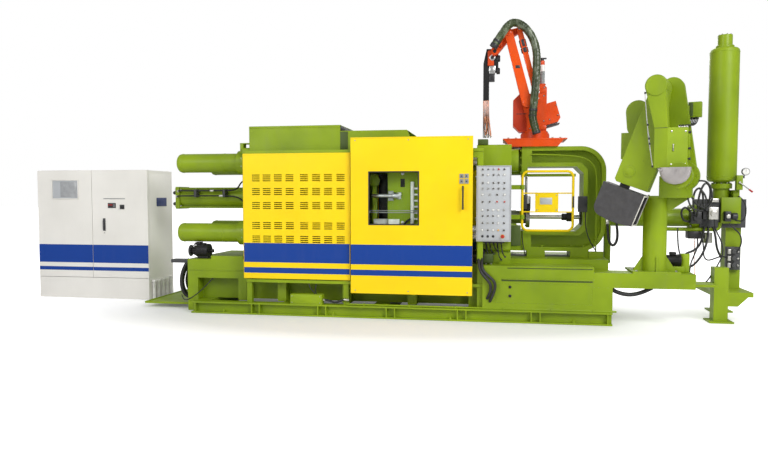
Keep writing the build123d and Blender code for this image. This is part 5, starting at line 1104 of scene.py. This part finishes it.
def sleeve(name, share_0, share_1, rings):
    """A creased sleeve round the hoses between two shares of their route."""
    mesh = bmesh.new()
    last = None
    for ring in range(rings + 1):
        share = share_0 + (share_1 - share_0) * ring / rings
        here = along_route(HOSE_ROUTE, share)
        before, after = max(share - 0.002, 0.0), min(share + 0.002, 1.0)
        ahead = (along_route(HOSE_ROUTE, after) - along_route(HOSE_ROUTE, before)).normalized()
        out = Vector((-ahead.y, 0, ahead.x))
        verts = []
        for side in range(HOSE_SIDES):
            angle = 2 * math.pi * side / HOSE_SIDES
            crease = 0.020 * math.sin(310 * share + 2 * angle) + 0.014 * math.sin(97 * share - 3 * angle)
            pleat = 0.018 * math.cos(7 * angle + 9 * share)
            radius = HOSE_R * (1 + crease + pleat)
            verts.append(mesh.verts.new(Vector((here.x, HOSE_Y, here.y)) + radius * math.cos(angle) * out
                                        + radius * math.sin(angle) * Vector((0, 1, 0))))
        if last:
            for side in range(HOSE_SIDES):
                following = (side + 1) % HOSE_SIDES
                mesh.faces.new((last[side], last[following], verts[following], verts[side]))
        elif share_0 == 0:
            mesh.faces.new(verts)
        last = verts
    if share_1 == 1:
        mesh.faces.new(list(reversed(last)))
    bmesh.ops.recalc_face_normals(mesh, faces=mesh.faces)
    data = bpy.data.meshes.new(name)
    mesh.to_mesh(data)
    mesh.free()
    data.shade_smooth()
    return add_piece(name, data, "olive_sleeve")


def hose_package():
    """The two sleeves, which take the place of the model's two hoses."""
    meet = 0.40
    lower = sleeve("robot_hose_sleeve_lower", 0.0, meet, 90)
    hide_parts("robot_hose_lower")
    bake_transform(lower)
    upper = sleeve("robot_hose_sleeve_upper", meet, 1.0, 140)
    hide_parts("robot_hose_upper")
    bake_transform(upper)


# Pieces of the ladle unit that follow a rule
def ladle_cables():
    """Cables from the valve box over the arm's back to its face."""
    routes, cables, first_s, pitch = [], 6, 0.350, 0.018
    for index in range(cables):
        s = first_s + pitch * index
        routes.append([in_ladle(s, 0.195, 2.565), in_ladle(s - 0.004, 0.180, 2.500),
                       in_ladle(s - 0.020 - 0.004 * index, 0.080, 2.450), in_ladle(s - 0.050, -0.150, 2.440),
                       in_ladle(s - 0.060, -0.380, 2.420), in_ladle(s - 0.050, -0.385, 2.392)])
    pipes("ladle_box_cables", routes, 0.0065, "rubber", "ladle_lower_arm")


def ladle_wires():
    """Three wires twisted together, which hang in front of the arm and bulge out once."""
    wires, steps, strands, twists = [], 22, 3, 9.0
    top, hang, bulge_at, bulge_width = 2.800, 0.860, 0.62, 0.10
    for strand in range(strands):
        route = []
        for step in range(steps + 1):
            share = step / steps
            angle = 2 * math.pi * (twists * share + strand / strands)
            wander = 0.006 + 0.010 * math.exp(-((share - bulge_at) / bulge_width) ** 2)
            s = -0.060 + 0.100 * share - 0.010 * math.sin(math.pi * share) + wander * math.cos(angle)
            t = LADLE_FACE - 0.012 + 0.5 * wander * math.sin(angle)
            route.append(in_ladle(s, t, top - hang * share))
        wires.append(route)
    pipes("ladle_hanging_wires", wires, 0.0028, "wire_grey", "ladle_lower_arm", resolution=4)


def pot_rim():
    """The pale lining on the four walls of the pot, at its tilt."""
    rim = Shape("ladle_pot_rim", "refractory", "ladle_cup")
    lean, pivot, wide = math.radians(-21.0), (-0.25, 1.90), 0.220
    out = LADLE_ALONG * math.cos(lean) + UP * math.sin(lean)
    down = LADLE_ALONG * math.sin(lean) - UP * math.cos(lean)
    corner_s = pivot[0] + 0.209 * math.sin(lean) - wide * math.cos(lean)
    corner_z = pivot[1] - 0.209 * math.cos(lean) - wide * math.sin(lean)
    mouth = in_ladle(corner_s, 0, corner_z) + 0.505 * out
    depth, wall, low, high = 0.391, 0.018, 0.0005, 0.010
    for t0, t1, d0, d1 in ((-0.4363, -0.4180, 0.0, depth), (-0.1695, -0.1513, 0.0, depth),
                           (-0.4180, -0.1695, 0.0, wall), (-0.4180, -0.1695, depth - wall, depth)):
        rim.plate(((low, d0), (high, d0), (high, d1), (low, d1)), t1 - t0, mouth + t0 * LADLE_BACK, out, down,
                  round_off=0.002)
    rim.make()


def drip_bowl():
    """The catch bowl in front of the ladle arm, flattened towards it."""
    bowl = Shape("ladle_drip_bowl", "cast_bowl")
    profile = ((0.0, 0.020), (0.012, 0.075), (0.040, 0.120), (0.085, 0.152), (0.140, 0.168), (0.195, 0.172),
               (0.195, 0.165), (0.140, 0.160), (0.085, 0.143), (0.045, 0.112), (0.022, 0.070), (0.014, 0.018))
    middle, flatten = in_ladle(0.290, LADLE_FACE - 0.046, 1.735), 0.78
    bowl.lathe(middle, UP, profile, 56)
    for vert in bowl.bm.verts:
        vert.co -= flatten * (vert.co - middle).dot(LADLE_BACK) * LADLE_BACK
    bowl.plate(((0.100, 1.918), (0.150, 1.905), (0.150, 1.880), (0.122, 1.885)), 0.040,
               in_ladle(0, LADLE_FACE - 0.040, 0), LADLE_ALONG, round_off=0.004)
    bowl.make()


def motor_fins():
    """Cooling fins of the die height motor, over 300 degrees of its round, and its terminal box."""
    low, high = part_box("die_height_motor")
    axis_y, axis_z = (low.y + high.y) / 2, high.z - 0.100
    fins, count = Shape("die_height_motor_fins", "black_paint"), 18
    inner, outer, half, first_angle, fan = 0.098, 0.108, 0.003, -60, 300
    for index in range(count):
        angle = math.radians(first_angle + fan * index / (count - 1))
        side, up = math.cos(angle), math.sin(angle)
        fins.block((-3.990, axis_y + inner * side - half, axis_z + inner * up - half),
                   (-3.830, axis_y + outer * side + half, axis_z + outer * up + half), 0.001)
    fins.block((-3.960, axis_y - 0.060, axis_z + 0.085), (-3.880, axis_y + 0.030, axis_z + 0.125), 0.006)
    fins.make()


# Operator panel
def panel_buttons():
    """Rows of buttons and lamps; each cap's colour is drawn at random, and each black cap gets a thin white
    bar as a painted highlight.
    """
    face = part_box("control_panel")[0].y
    rings = Shape("panel_button_rings", "zinc")
    caps = {finish: Shape("panel_caps_" + word, finish) for word, finish in (
        ("white", "white_cap"), ("green", "green_cap"), ("red", "red_cap"), ("amber", "amber_cap"),
        ("black", "black_plastic"), ("blue", "blue_cap"), ("grey", "grey_plastic"))}
    draw_from = (("black_plastic",) * 11 + ("grey_plastic",) * 4 + ("white_cap",) * 4
                 + ("green_cap", "red_cap", "amber_cap", "blue_cap"))
    columns, wide_columns = (0.084, 0.151, 0.218, 0.282, 0.352), (0.084, 0.173, 0.265, 0.357)
    wide_rows = (4, 5)
    rows = (1.939, 1.869, 1.768, 1.696, 1.619, 1.530, 1.425, 1.350, 1.261, 1.170)
    for row, z in enumerate(rows):
        for x in (wide_columns if row in wide_rows else columns):
            rings.rod((x, face - 0.003, z), (x, face - 0.008, z), 0.0150, 20, 0.002)
            finish = random.choice(draw_from)
            caps[finish].rod((x, face - 0.008, z), (x, face - 0.019, z), 0.0118, 18, 0.003)
            # Painted highlight: a thin white bar on the face of each black cap
            if finish == "black_plastic":
                caps["white_cap"].block((x - 0.0012, face - 0.0205, z),
                                        (x + 0.0012, face - 0.0185, z + 0.009), 0)
    for shape in caps.values():
        if shape.bm.verts:
            shape.make()
    rings.rod((0.336, face - 0.003, 1.091), (0.336, face - 0.012, 1.091), 0.020, 24, 0.003)
    rings.make()


def panel_cables():
    """Cables that hang in loops under the panel, with a gland at both ends of each."""
    cables, count, first_x, pitch = [], 7, 0.030, 0.048
    for index in range(count):
        x = first_x + pitch * index
        fall = 0.040 + 0.022 * ((3 * index) % 4)
        cables.append([(x, -0.765, 0.990), (x + 0.004, -0.800, 0.990 - 0.4 * fall),
                       (x + 0.014, -0.826, 0.985 - fall), (x + 0.030, -0.812, 0.975 - 1.6 * fall),
                       (x + 0.052, -0.765, 0.960 - 1.7 * fall)])
    pipes("under_panel_cables", cables, 0.0075, "rubber")
    glands = Shape("under_panel_glands", "black_plastic")
    for route in cables:
        for x, _, z in (route[0], route[-1]):
            glands.rod((x, -0.760, z), (x, -0.790, z), 0.013, 12)
    glands.block((0.020, -0.830, 1.000), (0.360, -0.762, 1.024), 0.004)
    glands.make()


# Floor, lamps, world and camera
def stage_and_light():
    """A pale floor, a white surround and soft lamps."""
    material, tree, shader = start_material("pale_floor")
    squeeze = add_node(tree, "ShaderNodeMapping", Vector=object_position(tree), Location=(0.6, 0.6, 0.0),
                       Scale=(0.45, 1.0, 1.0))
    distance = add_node(tree, "ShaderNodeVectorMath", operation="LENGTH")
    feed(distance.inputs[0], squeeze.outputs["Vector"])
    seen = add_node(tree, "ShaderNodeLightPath").outputs["Is Camera Ray"]
    far = math_node(tree, "MULTIPLY", seen, ramp(tree, distance.outputs["Value"], 0.12, 1.0, 1.4, 3.2))
    set_inputs(shader, Base_Color=(0.86, 0.86, 0.86, 1.0), Roughness=0.7,
               Emission_Color=(1.0, 1.0, 1.0, 1.0), Emission_Strength=far)
    bpy.ops.mesh.primitive_plane_add(size=160, location=(0, 0, -0.002))
    floor = bpy.context.object
    floor.name = "floor"
    floor.data.materials.append(material)
    surround = bpy.data.worlds.new("surround")
    scene.world = surround
    surround.use_nodes = True
    tree = surround.node_tree
    background = tree.nodes["Background"]
    path = add_node(tree, "ShaderNodeLightPath")
    seen = math_node(tree, "MAXIMUM", path.outputs["Is Camera Ray"], path.outputs["Is Transmission Ray"])
    set_inputs(background, Color=(1.0, 1.0, 1.0, 1.0), Strength=ramp(tree, seen, 0.42, 1.0))
    for name, place, target, size, power in (
            ("key_lamp", (6.5, -8.5, 7.5), (-1.5, 0.0, 1.2), 5.0, 900.0),
            ("fill_lamp", (-7.0, -9.5, 5.5), (-2.5, 0.0, 1.5), 5.0, 330.0),
            ("back_lamp", (1.5, 8.0, 7.0), (-1.5, 0.0, 1.5), 6.0, 400.0)):
        data = bpy.data.lights.new(name, "AREA")
        data.size = size
        data.energy = power
        lamp = bpy.data.objects.new(name, data)
        lamp.location = place
        lamp.rotation_euler = (Vector(target) - Vector(place)).to_track_quat("-Z", "Y").to_euler()
        scene.collection.objects.link(lamp)


EYE = (0.366, -9.668, 1.60)
YAW = math.radians(10.1)
PITCH = math.radians(3.1)
LENS, SENSOR = 31.875, 36.0


def camera():
    """The camera at the photograph's place."""
    data = bpy.data.cameras.new("camera")
    data.lens = LENS
    data.sensor_width = SENSOR
    data.sensor_fit = "HORIZONTAL"
    eye = bpy.data.objects.new("camera", data)
    eye.location = EYE
    eye.rotation_euler = (math.pi / 2 - PITCH, 0.0, YAW)
    scene.collection.objects.link(eye)
    scene.camera = eye


build_table()
for step in (spray_tubes, hose_package, ladle_cables, ladle_wires, pot_rim, drip_bowl, motor_fins,
             panel_buttons, panel_cables, stage_and_light, camera):
    step()
scene.view_settings.view_transform = "Standard"
